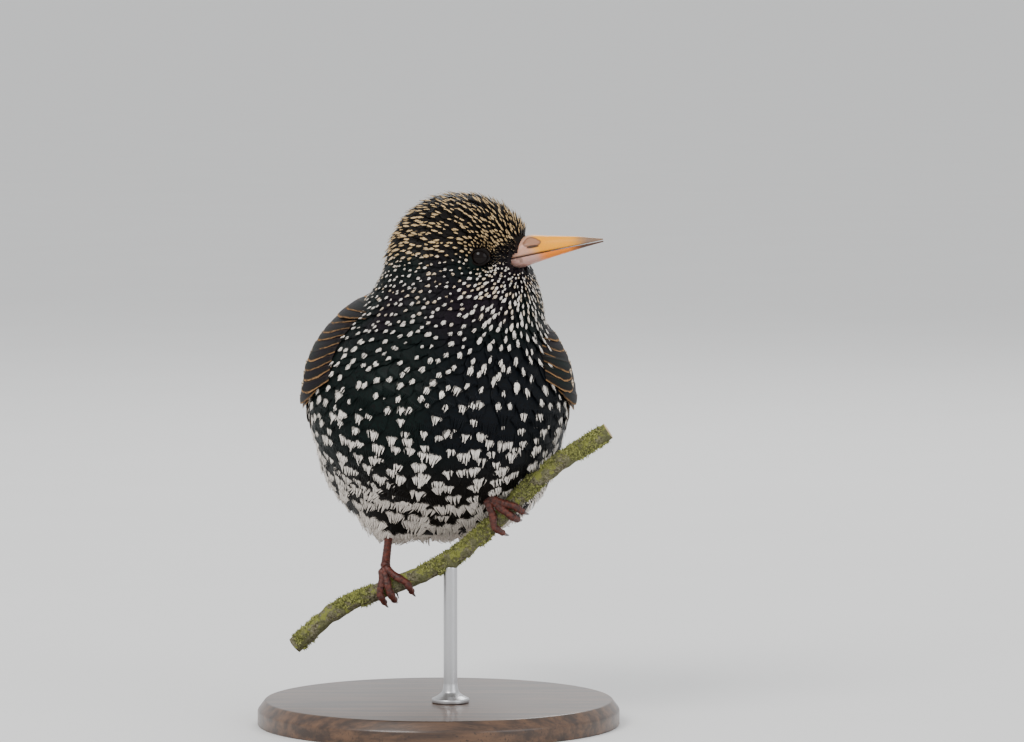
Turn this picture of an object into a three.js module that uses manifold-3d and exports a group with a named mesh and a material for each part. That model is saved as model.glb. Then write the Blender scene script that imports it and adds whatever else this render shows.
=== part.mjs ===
// A life-size European starling in winter plumage, puffed up and looking over its left shoulder,
// gripping a short cut length of twig that one rod carries above a round display base.
// Millimetres, +Z up. The bird faces -Y, so its left side is +X, and its tail points to +Y.
// The origin is the middle of the base's underside.
import * as THREE from "three";
import { mergeVertices } from "three/addons/utils/BufferGeometryUtils.js";
import Module from "manifold-3d";

const wasm = await Module();
wasm.setup();

// Driving dimensions

const GAP = 0.3; // kept between pieces that touch
const BLEND = 4; // how softly the body's rounded masses run together

// The body's masses: centre, radii, and pitch about X in degrees.
const TRUNK = [
  { at: [0, -3, 105], radii: [41.5, 35, 36], pitch: -35 }, // breast
  { at: [0, 14, 88], radii: [38.5, 31, 30], pitch: -20 }, // belly
  { at: [0, 26, 100], radii: [30, 38, 23], pitch: -38 }, // back
  { at: [0, 49, 83], radii: [14, 27, 13.5], pitch: -28 }, // rump
];
const NECK_AND_HEAD = [
  { at: [6, -5, 133.5], radii: [25, 22, 20], pitch: 0 }, // neck
  { at: [2.5, -8.5, 149.8], radii: [16.8, 14.5, 18], pitch: 0 }, // back of the head
  { at: [11.5, -10, 153.5], radii: [13, 8.5, 13.5], pitch: 0 }, // crown and face
  { at: [15, -10.4, 155], radii: [11, 5.6, 7], pitch: 0 }, // forehead
  { at: [16, -9.3, 135], radii: [12.5, 12, 12], pitch: 0 }, // throat
];
// The folded wings lie on the trunk with this long mass added, narrow over the tail.
const FOLD = { at: [0, 34.8, 94.5], radii: [28, 76, 18], pitch: -20.6 };

const NECK_FOOT = { at: [4, -4, 126], normal: [0.05, -0.3, 1] };
const NECK_TOP = { at: [5, -7, 138.5], normal: [0.12, -0.1, 1] };

const HEAD_TURN = -10; // degrees from +X towards the viewer
const HEAD_AXIS = { x: 6, y: -9 }; // where the head's own middle plane stands
const EYE = { forward: 9.8, height: 150.8, radius: 3.5, sunk: 2.5 };
const LID = { ring: 2.65, tube: 0.55 };

const BILL = { forward: 16.6, height: 149.7, pitch: 11.5 }; // the corner of the mouth

const WING_AXIS = { at: [0, -12, 112], pitch: -20.6 }; // the line that wing places are taken about

const TAIL = { root: [0, 46, 89], tip: [0, 111, 63.5], droop: 0.12 };

// Feathers: a vane's thickness, and how much its outer edge rises per mm across.
const VANE = { thick: 0.5, flightTilt: 0.25, covertTilt: 0.12 };
// Width at shares of a feather's length, as shares of its greatest half width.
const FLIGHT_SHAPE = [[0, 0.7], [0.4, 1], [0.82, 0.9], [0.96, 0.55], [1, 0.2]];
const COVERT_SHAPE = [[0, 0.75], [0.6, 1], [0.9, 0.72], [1, 0.22]];

// Each tier runs from its uppermost feather to its lowest. Roots and tips are places on the
// folded wing: mm along it, and degrees from the back. Lifts are above the body's form, and
// step is the further lift of each feather after the first.
const WING_TIERS = [
  // Primaries, secondaries and tertials
  { flight: true, count: 6, roots: [[34, 80], [16, 100]], tips: [[84, 70], [120, 79]], half: 3.8, lifts: [-0.6, 0.2], step: -0.4 },
  { flight: true, count: 4, roots: [[24, 60], [24, 90]], tips: [[70, 58], [77, 76]], half: 5.4, lifts: [-0.3, 0.9] },
  { flight: true, count: 3, roots: [[20, 40], [22, 54]], tips: [[50, 36], [68, 50]], half: 5.2, lifts: [0, 2] },
  // Primary coverts, then greater, median and lesser coverts
  { count: 2, roots: [[12, 98], [10, 104]], tips: [[50, 91], [40, 98]], half: 3.2, lifts: [-0.3, 1.2] },
  { count: 5, roots: [[10, 52], [8, 95]], tips: [[39, 52], [33, 92]], half: 5.6, lifts: [-0.2, 1.8] },
  { count: 4, roots: [[1, 53], [1, 93]], tips: [[25, 54], [21, 91]], half: 6.8, lifts: [-0.2, 2.2] },
  { count: 3, roots: [[-3, 58], [-3, 90]], tips: [[13, 58], [11, 90]], half: 8, lifts: [-0.1, 2.6] },
  // Scapulars
  { count: 2, roots: [[18, 32], [20, 44]], tips: [[46, 26], [42, 38]], half: 6, lifts: [0, 2.5] },
  { count: 2, roots: [[6, 32], [8, 46]], tips: [[31, 29], [28, 43]], half: 6.4, lifts: [0, 2.8] },
  { count: 2, roots: [[-4, 34], [-3, 48]], tips: [[17, 31], [14, 46]], half: 6.4, lifts: [0, 3] },
];
// On the tail the places are mm along it and mm from its middle, for one half of each tier.
const TAIL_TIERS = [
  { flight: true, count: 6, roots: [[8, 0.8], [8, 4]], tips: [[67, 1.7], [69.5, 10]], half: 3.6, lifts: [0.4, 0.4], step: -0.45 },
  { count: 2, roots: [[-2, 1], [-2, 5]], tips: [[27, 2.4], [24, 6.6]], half: 4, lifts: [1.2, 1.9] },
  { under: true, count: 2, roots: [[-2, 1], [-2, 5]], tips: [[38, 2.4], [34, 7]], half: 4.2, lifts: [0.6, 1.6] },
];
const SEAT_SPARE = 5; // degrees
const TAIL_CORE = { length: 40, half: [8, 10], above: [2.2, 0.1], below: [5.2, 2.6] };

const PERCH_RADIUS = 2.8;
const PERCH_POINTS = [
  [-46, -3, 25.5],
  [-31, -5, 38],
  [-16, -7, 44.6],
  [-2, -8.5, 50.6],
  [8, -10.5, 57],
  [18.5, -13, 66.5],
  [30, -15.5, 78.5],
  [41, -17, 87],
  [54, -18, 95.5],
];

const BASE = { radius: 58, height: 8, chamfer: 1.4 };
const ROD = { radius: 2.2, share: 0.47, collar: 6, collarHeight: 2 };

// Colours, from the photograph

const FINISH = {
  plumage: { color: 0x15161a, roughness: 0.55, metalness: 0.1 },
  wing: { color: 0x2a221b, roughness: 0.5, metalness: 0.1 },
  bill: { color: 0xe3a24a, roughness: 0.4, metalness: 0 },
  eye: { color: 0x0d0b0b, roughness: 0.08, metalness: 0 },
  leg: { color: 0x7d3a2c, roughness: 0.5, metalness: 0 },
  claw: { color: 0x2b2422, roughness: 0.35, metalness: 0 },
  bark: { color: 0x7c7a55, roughness: 0.9, metalness: 0 },
  wood: { color: 0x3c2a1e, roughness: 0.45, metalness: 0 },
  steel: { color: 0x9a9c9e, roughness: 0.3, metalness: 1 },
};

// Small helpers

const rad = THREE.MathUtils.degToRad;
const lerp = THREE.MathUtils.lerp;
const vec = (a) => new THREE.Vector3(...a);
const bird = new THREE.Group();

function solid(geometry) {
  const bare = geometry.index ? geometry.toNonIndexed() : geometry.clone();
  bare.deleteAttribute("normal");
  bare.deleteAttribute("uv");
  const merged = mergeVertices(bare, 1e-4);
  return new wasm.Manifold(
    new wasm.Mesh({
      numProp: 3,
      vertProperties: merged.attributes.position.array,
      triVerts: new Uint32Array(merged.index.array),
    }),
  );
}

function largest(manifold) {
  return manifold.decompose().reduce((a, b) => (a.volume() > b.volume() ? a : b));
}

function addNode(name, manifold, finish) {
  const mesh = largest(manifold).getMesh();
  const geometry = new THREE.BufferGeometry();
  geometry.setAttribute("position", new THREE.BufferAttribute(mesh.vertProperties, 3));
  geometry.setIndex(new THREE.BufferAttribute(mesh.triVerts, 1));
  geometry.computeVertexNormals();
  const node = new THREE.Mesh(geometry, new THREE.MeshStandardMaterial(FINISH[finish]));
  node.name = name;
  bird.add(node);
}

// A closed body through rings of points. Its second half of columns is split the other way, so
// that a thin blade, whose underside is that half, has like triangles on both faces.
function loft(rings) {
  const count = rings[0].length;
  const positions = [];
  const triangle = (a, b, c) => positions.push(...a.toArray(), ...b.toArray(), ...c.toArray());
  for (let i = 0; i + 1 < rings.length; i++) {
    for (let j = 0; j < count; j++) {
      const k = (j + 1) % count;
      const [a, b, c, d] = [rings[i][j], rings[i][k], rings[i + 1][k], rings[i + 1][j]];
      if (j < count / 2) {
        triangle(a, b, c);
        triangle(a, c, d);
      } else {
        triangle(a, b, d);
        triangle(b, c, d);
      }
    }
  }
  const cap = (ring, turned) => {
    for (let j = 0; j + 1 < count / 2; j++) {
      const quad = [ring[j], ring[j + 1], ring[count - 2 - j], ring[count - 1 - j]];
      if (turned) quad.reverse();
      triangle(quad[0], quad[2], quad[1]);
      triangle(quad[0], quad[3], quad[2]);
    }
  };
  cap(rings[0], false);
  cap(rings[rings.length - 1], true);
  const geometry = new THREE.BufferGeometry();
  geometry.setAttribute("position", new THREE.Float32BufferAttribute(positions, 3));
  return geometry;
}

// As loft, turned outwards whichever way round the rings run.
function loftSolid(rings) {
  const made = solid(loft(rings));
  return made.volume() > 0 ? made : solid(loft(rings.map((ring) => [...ring].reverse())));
}

// Everything on the side of a plane that its normal points to.
function beyond(plane, shift = 0) {
  const size = 400;
  const normal = vec(plane.normal).normalize();
  const turn = new THREE.Quaternion().setFromUnitVectors(new THREE.Vector3(0, 0, 1), normal);
  const middle = vec(plane.at).addScaledVector(normal, size / 2 + shift);
  return solid(
    new THREE.BoxGeometry(size, size, size).applyQuaternion(turn).translate(...middle.toArray()),
  );
}

// The body's form, as a distance that is negative inside

function mass({ at, radii, pitch }) {
  const angle = rad(pitch);
  return { at, radii, cos: Math.cos(angle), sin: Math.sin(angle) };
}

function massDistance({ at, radii, cos, sin }, p) {
  const x = p.x - at[0];
  const y = (p.y - at[1]) * cos + (p.z - at[2]) * sin;
  const z = (p.z - at[2]) * cos - (p.y - at[1]) * sin;
  const near = Math.hypot(x / radii[0], y / radii[1], z / radii[2]);
  const steep = Math.hypot(x / radii[0] ** 2, y / radii[1] ** 2, z / radii[2] ** 2) + 1e-9;
  return (near * (near - 1)) / steep;
}

function formOf(masses) {
  const made = masses.map(mass);
  return (p) => {
    const sum = made.reduce((total, m) => total + Math.exp(-massDistance(m, p) / BLEND), 0);
    return -BLEND * Math.log(sum);
  };
}

const bodyForm = formOf([...TRUNK, ...NECK_AND_HEAD]);
const wingForm = formOf([...TRUNK, FOLD]);

function normalOf(form, p) {
  const step = 0.05;
  const along = (axis) => {
    const q = p.clone();
    q[axis] += step;
    const r = p.clone();
    r[axis] -= step;
    return form(q) - form(r);
  };
  return new THREE.Vector3(along("x"), along("y"), along("z")).normalize();
}

// How far from a point inside the form its surface lies, in one direction.
const REACH_STEP = 2.5;

function reach(form, from, direction, furthest = 90) {
  let inside = 0;
  let outside = furthest;
  for (let step = REACH_STEP; step <= furthest; step += REACH_STEP) {
    if (form(from.clone().addScaledVector(direction, step)) > 0) {
      outside = step;
      break;
    }
    inside = step;
  }
  for (let i = 0; i < 16; i++) {
    const middle = (inside + outside) / 2;
    if (form(from.clone().addScaledVector(direction, middle)) > 0) outside = middle;
    else inside = middle;
  }
  return (inside + outside) / 2;
}

// A sphere's grid pushed out to the form's surface, its poles along a pitched line.
function pushedSphere(form, centre, pitch, around, along) {
  const geometry = new THREE.SphereGeometry(1, around, along).rotateX(rad(pitch));
  const place = geometry.attributes.position;
  for (let i = 0; i < place.count; i++) {
    const direction = new THREE.Vector3().fromBufferAttribute(place, i).normalize();
    const out = direction.clone().multiplyScalar(reach(form, centre, direction)).add(centre);
    place.setXYZ(i, out.x, out.y, out.z);
  }
  return solid(geometry);
}

function cappedForm(form, plane, side, margin) {
  const normal = vec(plane.normal).normalize();
  const at = vec(plane.at);
  return (p) => Math.max(form(p), side * p.clone().sub(at).dot(normal) - margin);
}

// Torso, neck and head

const CAP_MARGIN = 3; // the grids run this far past each cut, and are then cut flat

function torsoSolid(grow) {
  const form = cappedForm((p) => bodyForm(p) - grow, NECK_FOOT, 1, CAP_MARGIN);
  return pushedSphere(form, new THREE.Vector3(0, 16, 97), -30, 32, 20);
}

function makeTorso(cutters) {
  const whole = torsoSolid(0).subtract(beyond(NECK_FOOT));
  addNode("torso", cutters.reduce((left, cutter) => left.subtract(cutter), whole), "plumage");
}

function neckSolid(grow) {
  const lower = cappedForm((p) => bodyForm(p) - grow, NECK_FOOT, -1, CAP_MARGIN);
  const form = cappedForm(lower, NECK_TOP, 1, CAP_MARGIN);
  return pushedSphere(form, new THREE.Vector3(5, -5, 132.5), 90, 32, 10);
}

function makeNeck() {
  const cut = neckSolid(0).intersect(beyond(NECK_FOOT, GAP)).subtract(beyond(NECK_TOP));
  addNode("neck", cut, "plumage");
}

// A point in the head's own frame: forward along the bill's heading, to the bird's left, and up.
function headPoint(forward, left, height) {
  const turn = rad(HEAD_TURN);
  return new THREE.Vector3(
    HEAD_AXIS.x + forward * Math.cos(turn) - left * Math.sin(turn),
    HEAD_AXIS.y + forward * Math.sin(turn) + left * Math.cos(turn),
    height,
  );
}

function eyePlace(side) {
  const inner = headPoint(EYE.forward, 0, EYE.height);
  const out = headPoint(EYE.forward, side, EYE.height).sub(inner);
  const surface = reach(bodyForm, inner, out);
  return { centre: inner.addScaledVector(out, surface - EYE.sunk), out };
}

function eyeBall(side, grow) {
  const { centre } = eyePlace(side);
  const ball = new THREE.SphereGeometry(EYE.radius + grow, 12, 8);
  return solid(ball.translate(...centre.toArray()));
}

function lidRing(side) {
  const { centre, out } = eyePlace(side);
  const turn = new THREE.Quaternion().setFromUnitVectors(new THREE.Vector3(0, 0, 1), out);
  const ring = new THREE.TorusGeometry(LID.ring, LID.tube, 4, 14).applyQuaternion(turn);
  return solid(ring.translate(...centre.addScaledVector(out, EYE.sunk).toArray()));
}

// Bill: how deep each half is, and how wide, at places along it from the corner of the mouth.
const BILL_STATIONS = [
  { along: -1.5, upper: 3.2, lower: 3.2, half: 5.2 },
  { along: 3, upper: 4.8, lower: 3.5, half: 5.0 },
  { along: 7.7, upper: 6.0, lower: 2.9, half: 3.9 },
  { along: 13.5, upper: 4.8, lower: 2.1, half: 2.8 },
  { along: 19.5, upper: 3.5, lower: 1.45, half: 2.1 },
  { along: 24.5, upper: 2.35, lower: 0.95, half: 1.55 },
  { along: 28.5, upper: 1.15, lower: 0.6, half: 1.0 },
  { along: 31, upper: 0.45, lower: 0.4, half: 0.4 },
];
const UPPER_SECTION = [
  [-1, 0], [-0.96, 0.42], [-0.58, 0.84], [0, 1], [0.58, 0.84], [0.96, 0.42], [1, 0], [0, 0],
];
const LOWER_SECTION = [
  [-1, 0], [-0.9, 0.5], [-0.5, 0.88], [0, 1], [0.5, 0.88], [0.9, 0.5], [1, 0], [0, 0],
];

function billPoint(along, left, up) {
  const pitch = rad(BILL.pitch);
  const forward = BILL.forward + along * Math.cos(pitch) - up * Math.sin(pitch);
  return headPoint(forward, left, BILL.height + along * Math.sin(pitch) + up * Math.cos(pitch));
}

function billHalf(side, grow) {
  const section = side > 0 ? UPPER_SECTION : LOWER_SECTION;
  const rings = BILL_STATIONS.map((station, index) => {
    const deep = (side > 0 ? station.upper : station.lower) + grow;
    const half = station.half * (side > 0 ? 1 : 0.93) + grow;
    const end = index === 0 ? -grow : index === BILL_STATIONS.length - 1 ? grow : 0;
    return section.map(([across, up]) => {
      const flat = up === 0 ? -grow : 0;
      return billPoint(station.along + end, across * half, side * (GAP / 2 + flat + up * deep));
    });
  });
  return loftSolid(rings);
}

function ellipsoidAt(place, radii, turn) {
  const ball = new THREE.SphereGeometry(1, 8, 5).scale(...radii).rotateZ(rad(turn));
  return solid(ball.translate(...place.toArray()));
}

function makeHead() {
  const form = cappedForm(bodyForm, NECK_TOP, -1, CAP_MARGIN);
  let head = pushedSphere(form, new THREE.Vector3(9, -9.5, 149), 90, 30, 15);
  head = head.intersect(beyond(NECK_TOP, GAP));
  for (const side of [-1, 1]) head = head.add(lidRing(side)).subtract(eyeBall(side, GAP));
  head = head.subtract(billHalf(-1, GAP)).subtract(billUpper(GAP));
  addNode("head", head, "plumage");
  addNode("eye_right", eyeBall(-1, 0), "eye");
  addNode("eye_left", eyeBall(1, 0), "eye");
}

// The upper half with the swollen flap over each nostril.
function billUpper(grow) {
  let upper = billHalf(1, grow);
  for (const side of [-1, 1]) {
    const flap = billPoint(8.6, side * 3.0, 3.1);
    upper = upper.add(ellipsoidAt(flap, [2.1 + grow, 1.1 + grow, 1.2 + grow], HEAD_TURN));
  }
  return upper;
}

function makeBill() {
  let upper = billUpper(0);
  for (const side of [-1, 1]) {
    const nostril = billPoint(9.4, side * 3.95, 2.35);
    upper = upper.subtract(ellipsoidAt(nostril, [1.5, 0.7, 0.5], HEAD_TURN));
  }
  addNode("bill_upper", upper, "bill");
  addNode("bill_lower", billHalf(-1, 0), "bill");
}

// Feathers

// One vane from its root to its tip. place turns a share of its length, a distance across from
// its shaft and a lift into a point.
function vaneSolid(place, { flight, half, lifts, step = 0 }, index) {
  const shape = flight ? FLIGHT_SHAPE : COVERT_SHAPE;
  const tilt = flight ? VANE.flightTilt : VANE.covertTilt;
  const rings = shape.map(([share, width]) => {
    const lift = lerp(...lifts, share) + step * index;
    const corner = (side, drop) => {
      const aside = side * half * width;
      return place(share, aside, lift + tilt * aside - drop);
    };
    return [corner(-1, 0), corner(1, 0), corner(1, VANE.thick), corner(-1, VANE.thick)];
  });
  return loftSolid(rings);
}

// Calls add with each feather's root and tip, from a tier's first to its last.
function forTier({ count, roots, tips }, add) {
  for (let i = 0; i < count; i++) {
    const share = count === 1 ? 0 : i / (count - 1);
    const between = ([first, last]) => first.map((value, axis) => lerp(value, last[axis], share));
    add(between(roots), between(tips), i);
  }
}

// Wings

// A place on the folded wings' surface: how far along their axis, and the angle from the back.
function wingAxis(along) {
  const pitch = rad(WING_AXIS.pitch);
  const run = new THREE.Vector3(0, along * Math.cos(pitch), along * Math.sin(pitch));
  return run.add(vec(WING_AXIS.at));
}

function wingPoint(side, along, angle, lift) {
  const pitch = rad(WING_AXIS.pitch);
  const from = wingAxis(along);
  const turn = rad(angle);
  const out = new THREE.Vector3(
    side * Math.sin(turn),
    -Math.cos(turn) * Math.sin(pitch),
    Math.cos(turn) * Math.cos(pitch),
  );
  const surface = from.addScaledVector(out, reach(wingForm, from, out));
  return surface.addScaledVector(normalOf(wingForm, surface), lift);
}

// A plate on that surface between two edges, given as angles at each share of its length.
function wingPlate(side, start, end, steps, edges, lifts) {
  const across = 4;
  const rings = [];
  for (let i = 0; i <= steps; i++) {
    const share = i / steps;
    const [low, high] = edges(share);
    const [bottom, top] = lifts(share);
    const along = lerp(start, end, share);
    const row = (lift, j) => {
      const swell = Math.sin((Math.PI * (j + 0.5)) / (across + 1));
      const height = lift > 0 ? lift * (0.55 + 0.45 * swell) : lift;
      return wingPoint(side, along, lerp(high, low, j / across), height);
    };
    const ring = [];
    for (let j = 0; j <= across; j++) ring.push(row(top, j));
    for (let j = across; j >= 0; j--) ring.push(row(bottom, j));
    rings.push(ring);
  }
  return loftSolid(rings);
}

// The plate that a wing's feathers are rooted in, sunk into the torso. The seat that the torso
// leaves for it is deeper and longer by grow, and wider by a feather's root.
function wingCore(side, grow) {
  const spare = grow > 0 ? SEAT_SPARE : 0;
  const edges = (share) => {
    const low = lerp(107, 86, share ** 1.2) + spare;
    const high = lerp(28, 66, share ** 1.3) - spare;
    const round = Math.sqrt(Math.min(1, share * 6 + 0.25));
    const middle = (low + high) / 2;
    return [lerp(middle, low, round), lerp(middle, high, round)];
  };
  const lifts = (share) => [lerp(-2.5, -1.8, share) - grow, lerp(0.6, 0.2, share) + 12 * grow];
  return wingPlate(side, 2 - grow, 72 + grow, 7, edges, lifts);
}

function makeWing(side, name, torso) {
  let wing = wingCore(side, 0);
  for (const tier of WING_TIERS) {
    forTier(tier, (root, tip, index) => {
      const girth = wingPoint(side, ...root, 0).distanceTo(wingAxis(root[0]));
      const place = (share, aside, lift) => {
        const turned = THREE.MathUtils.radToDeg(aside / girth);
        return wingPoint(side, lerp(root[0], tip[0], share), lerp(root[1], tip[1], share) + turned, lift);
      };
      wing = wing.add(vaneSolid(place, tier, index));
    });
  }
  addNode(name, wing.subtract(torso), "wing");
}

// Tail

function makeTail(torso) {
  const root = vec(TAIL.root);
  const run = vec(TAIL.tip).sub(root).normalize();
  const up = new THREE.Vector3(1, 0, 0).cross(run).normalize();
  const tailPoint = (along, x, lift) => {
    const point = root.clone().addScaledVector(run, along);
    return point.addScaledVector(up, lift - TAIL.droop * Math.abs(x)).add(new THREE.Vector3(x, 0, 0));
  };
  const columns = [-1, -0.4, 0.4, 1];
  const rings = [0, 0.5, 1].map((share) => {
    const half = lerp(...TAIL_CORE.half, share);
    const face = (lift) => columns.map((c) => tailPoint(share * TAIL_CORE.length, c * half, lift));
    return [...face(lerp(...TAIL_CORE.above, share)), ...face(-lerp(...TAIL_CORE.below, share)).reverse()];
  });
  let tail = loftSolid(rings).subtract(torso);
  for (const tier of TAIL_TIERS) {
    const face = tier.under ? -1 : 1;
    const shift = tier.under ? -TAIL_CORE.below[1] + 0.4 : 0;
    for (const side of [-1, 1]) {
      forTier(tier, (base, tip, index) => {
        const place = (share, aside, lift) => {
          const x = side * (lerp(base[1], tip[1], share) + aside);
          return tailPoint(lerp(base[0], tip[0], share), x, shift + face * lift);
        };
        tail = tail.add(vaneSolid(place, tier, index).subtract(torso));
      });
    }
  }
  addNode("tail", tail, "wing");
}

// Perch

const perchCurve = new THREE.CatmullRomCurve3(PERCH_POINTS.map(vec));

function perchSolid(grow) {
  const sides = 8;
  const steps = 24;
  const frames = perchCurve.computeFrenetFrames(steps, false);
  const rings = [];
  for (let i = 0; i <= steps; i++) {
    const middle = perchCurve.getPointAt(i / steps);
    const ring = [];
    for (let j = 0; j < sides; j++) {
      const angle = (2 * Math.PI * j) / sides;
      const radius = PERCH_RADIUS * (1 + 0.05 * Math.sin(2.1 * i) + 0.04 * Math.sin(3 * angle + i)) + grow;
      const point = middle.clone();
      point.addScaledVector(frames.normals[i], Math.cos(angle) * radius);
      point.addScaledVector(frames.binormals[i], Math.sin(angle) * radius);
      ring.push(point);
    }
    rings.push(ring);
  }
  return loftSolid(rings);
}

// Feet: each toe is an arc round the perch, given by angles from its top towards the front.

const FOOT = {
  right: { side: -1, share: 0.303, joint: 7.2 },
  left: { side: 1, share: 0.664, joint: 8.4 },
};
const TOES = [
  { name: "middle", spread: 0.9, from: 16, to: 168, radius: 1.35 },
  { name: "inner", spread: -5.4, from: 20, to: 156, radius: 1.25 },
  { name: "outer", spread: 4.1, from: 22, to: 156, radius: 1.25 },
  { name: "hind", spread: 0.4, from: -24, to: -104, radius: 1.4 },
];
const TOE_SIDES = 6;
const CLAW_ARC = 34; // degrees of the perch's round that a claw takes

function footFrame(foot) {
  const centre = perchCurve.getPointAt(foot.share);
  const run = perchCurve.getTangentAt(foot.share);
  const front = new THREE.Vector3(0, -1, 0);
  front.addScaledVector(run, -front.dot(run)).normalize();
  const up = new THREE.Vector3().crossVectors(front, run).normalize();
  return { centre, run, front, up: up.z > 0 ? up : up.negate() };
}

function toePoint(foot, angle, radius, aside) {
  const { centre, run, front, up } = footFrame(foot);
  const turn = rad(angle);
  return centre
    .clone()
    .addScaledVector(up, Math.cos(turn) * radius)
    .addScaledVector(front, Math.sin(turn) * radius)
    .addScaledVector(run, aside);
}

function tube(points, radii, sides) {
  const curve = new THREE.CatmullRomCurve3(points);
  const steps = points.length - 1;
  const rings = points.map((point, i) => {
    const run = curve.getTangent(i / steps);
    const aside = new THREE.Vector3(1, 0.3, 0).cross(run).normalize();
    const across = new THREE.Vector3().crossVectors(run, aside).normalize();
    return Array.from({ length: sides }, (_, j) => {
      const angle = (2 * Math.PI * j) / sides;
      return point
        .clone()
        .addScaledVector(aside, Math.cos(angle) * radii[i])
        .addScaledVector(across, Math.sin(angle) * radii[i]);
    });
  });
  return loftSolid(rings);
}

function toeWrap(toe) {
  return PERCH_RADIUS * 1.1 + GAP + toe.radius;
}

function toeSolid(foot, toe, grow) {
  const wrap = toeWrap(toe);
  const steps = 9;
  const points = [];
  const radii = [];
  for (let i = 0; i <= steps; i++) {
    const share = i / steps;
    const angle = lerp(toe.from, toe.to, share);
    const rise = (foot.joint - wrap) * Math.max(0, 1 - share * 3.2) ** 1.5;
    const aside = toe.spread * foot.side * lerp(0.12, 1, Math.min(1, share * 1.8));
    points.push(toePoint(foot, angle, wrap + rise, aside));
    const pads = 1 + 0.1 * Math.cos(share * 6 * Math.PI);
    radii.push(toe.radius * pads * lerp(1, 0.8, share) + grow);
  }
  return tube(points, radii, TOE_SIDES);
}

function clawSolid(foot, toe) {
  const wrap = toeWrap(toe);
  const turn = Math.sign(toe.to - toe.from);
  const start = toe.to + turn * THREE.MathUtils.radToDeg((GAP + 0.1) / wrap);
  const steps = 4;
  const points = [];
  const radii = [];
  for (let i = 0; i <= steps; i++) {
    const share = i / steps;
    const radius = wrap + 1.6 * Math.sin(share * Math.PI * 0.5) * share;
    points.push(toePoint(foot, start + turn * CLAW_ARC * share, radius, toe.spread * foot.side));
    radii.push(lerp(toe.radius * 0.68, 0.14, share ** 1.2));
  }
  return tube(points, radii, 6);
}

// The four toes are one piece with the pad where they meet; each claw is its own.
function footSolid(sideName, grow) {
  const [first, ...others] = TOES.map((toe) => toeSolid(FOOT[sideName], toe, grow));
  return others.reduce((foot, toe) => foot.add(toe), first);
}

function makeFoot(sideName) {
  addNode(`foot_${sideName}`, footSolid(sideName, 0), "leg");
  for (const toe of TOES) {
    addNode(`claw_${toe.name}_${sideName}`, clawSolid(FOOT[sideName], toe), "claw");
  }
}

// Legs: the feathered thigh comes out of the belly, and the bare tarsus runs from it to the foot.

const TARSUS_RADIUS = 1.4;
const LEGS = {
  right: { heel: [-15.5, 2, 64], thigh: 5.2 },
  left: { heel: [14.5, 0, 69], thigh: 5.6 },
};

function legPath(sideName) {
  const foot = FOOT[sideName];
  const joint = toePoint(foot, 0, foot.joint + 0.6, 0);
  return { heel: vec(LEGS[sideName].heel), joint };
}

function tarsusSolid(sideName, grow) {
  const { heel, joint } = legPath(sideName);
  const shares = [0, 0.15, 0.5, 0.85, 1];
  const widths = [1.05, 0.95, 0.9, 1, 1.25];
  const points = shares.map((share) => heel.clone().lerp(joint, share));
  return tube(points, widths.map((w) => TARSUS_RADIUS * w + grow), 10);
}

function thighSolid(sideName) {
  const { heel, joint } = legPath(sideName);
  const run = joint.clone().sub(heel).normalize();
  const wide = LEGS[sideName].thigh;
  const shares = [-1.2, -0.4, 0.4, 1];
  const radii = [1, 1.05, 0.8, 0.42].map((w) => wide * w);
  return tube(shares.map((share) => heel.clone().addScaledVector(run, share * wide)), radii, 12);
}

function makeLeg(sideName, torso) {
  const foot = footSolid(sideName, GAP);
  const thigh = thighSolid(sideName).subtract(torso).subtract(tarsusSolid(sideName, GAP));
  addNode(`thigh_${sideName}`, thigh.subtract(foot), "plumage");
  addNode(`tarsus_${sideName}`, tarsusSolid(sideName, 0).subtract(foot), "leg");
}

// Display stand

function latheSolid(profile, segments) {
  const points = profile.map(([r, z]) => new THREE.Vector2(r, z));
  return solid(new THREE.LatheGeometry(points, segments).rotateX(Math.PI / 2));
}

function makeStand() {
  const { radius, height, chamfer } = BASE;
  const base = latheSolid(
    [[0, 0], [radius, 0], [radius, height - chamfer], [radius - chamfer, height], [0, height]],
    44,
  );
  addNode("stand_base", base, "wood");

  const place = perchCurve.getPointAt(ROD.share);
  const foot = height + GAP;
  const rod = latheSolid(
    [
      [0, foot],
      [ROD.collar, foot],
      [ROD.collar, foot + ROD.collarHeight - 0.5],
      [ROD.collar - 0.5, foot + ROD.collarHeight],
      [ROD.radius, foot + ROD.collarHeight],
      [ROD.radius, place.z],
      [0, place.z],
    ],
    20,
  ).translate([place.x, place.y, 0]);
  addNode("stand_rod", rod.subtract(perchSolid(GAP)), "steel");
}

makeHead();
makeBill();
makeNeck();
const torsoGrown = torsoSolid(GAP);
const wingSeats = [-1, 1].map((side) => wingCore(side, GAP));
const seatedTorso = wingSeats.reduce((torso, seat) => torso.subtract(seat), torsoGrown);
makeWing(-1, "wing_right", seatedTorso.add(neckSolid(GAP)));
makeWing(1, "wing_left", seatedTorso.add(neckSolid(GAP)));
makeTail(torsoGrown);
addNode("perch", perchSolid(0), "bark");
makeStand();
for (const sideName of Object.keys(FOOT)) {
  makeFoot(sideName);
  makeLeg(sideName, torsoGrown);
}
const legHoles = Object.keys(FOOT).flatMap((side) => [tarsusSolid(side, GAP), footSolid(side, GAP)]);
makeTorso([perchSolid(GAP), ...wingSeats, ...legHoles]);

export default bird;
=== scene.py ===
# A life-size starling in winter plumage, puffed up and looking over its left shoulder, on a cut
# length of twig above a round display base. Lengths are in millimetres, as in the solids, until
# a mesh is made in metres.
import math

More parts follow.
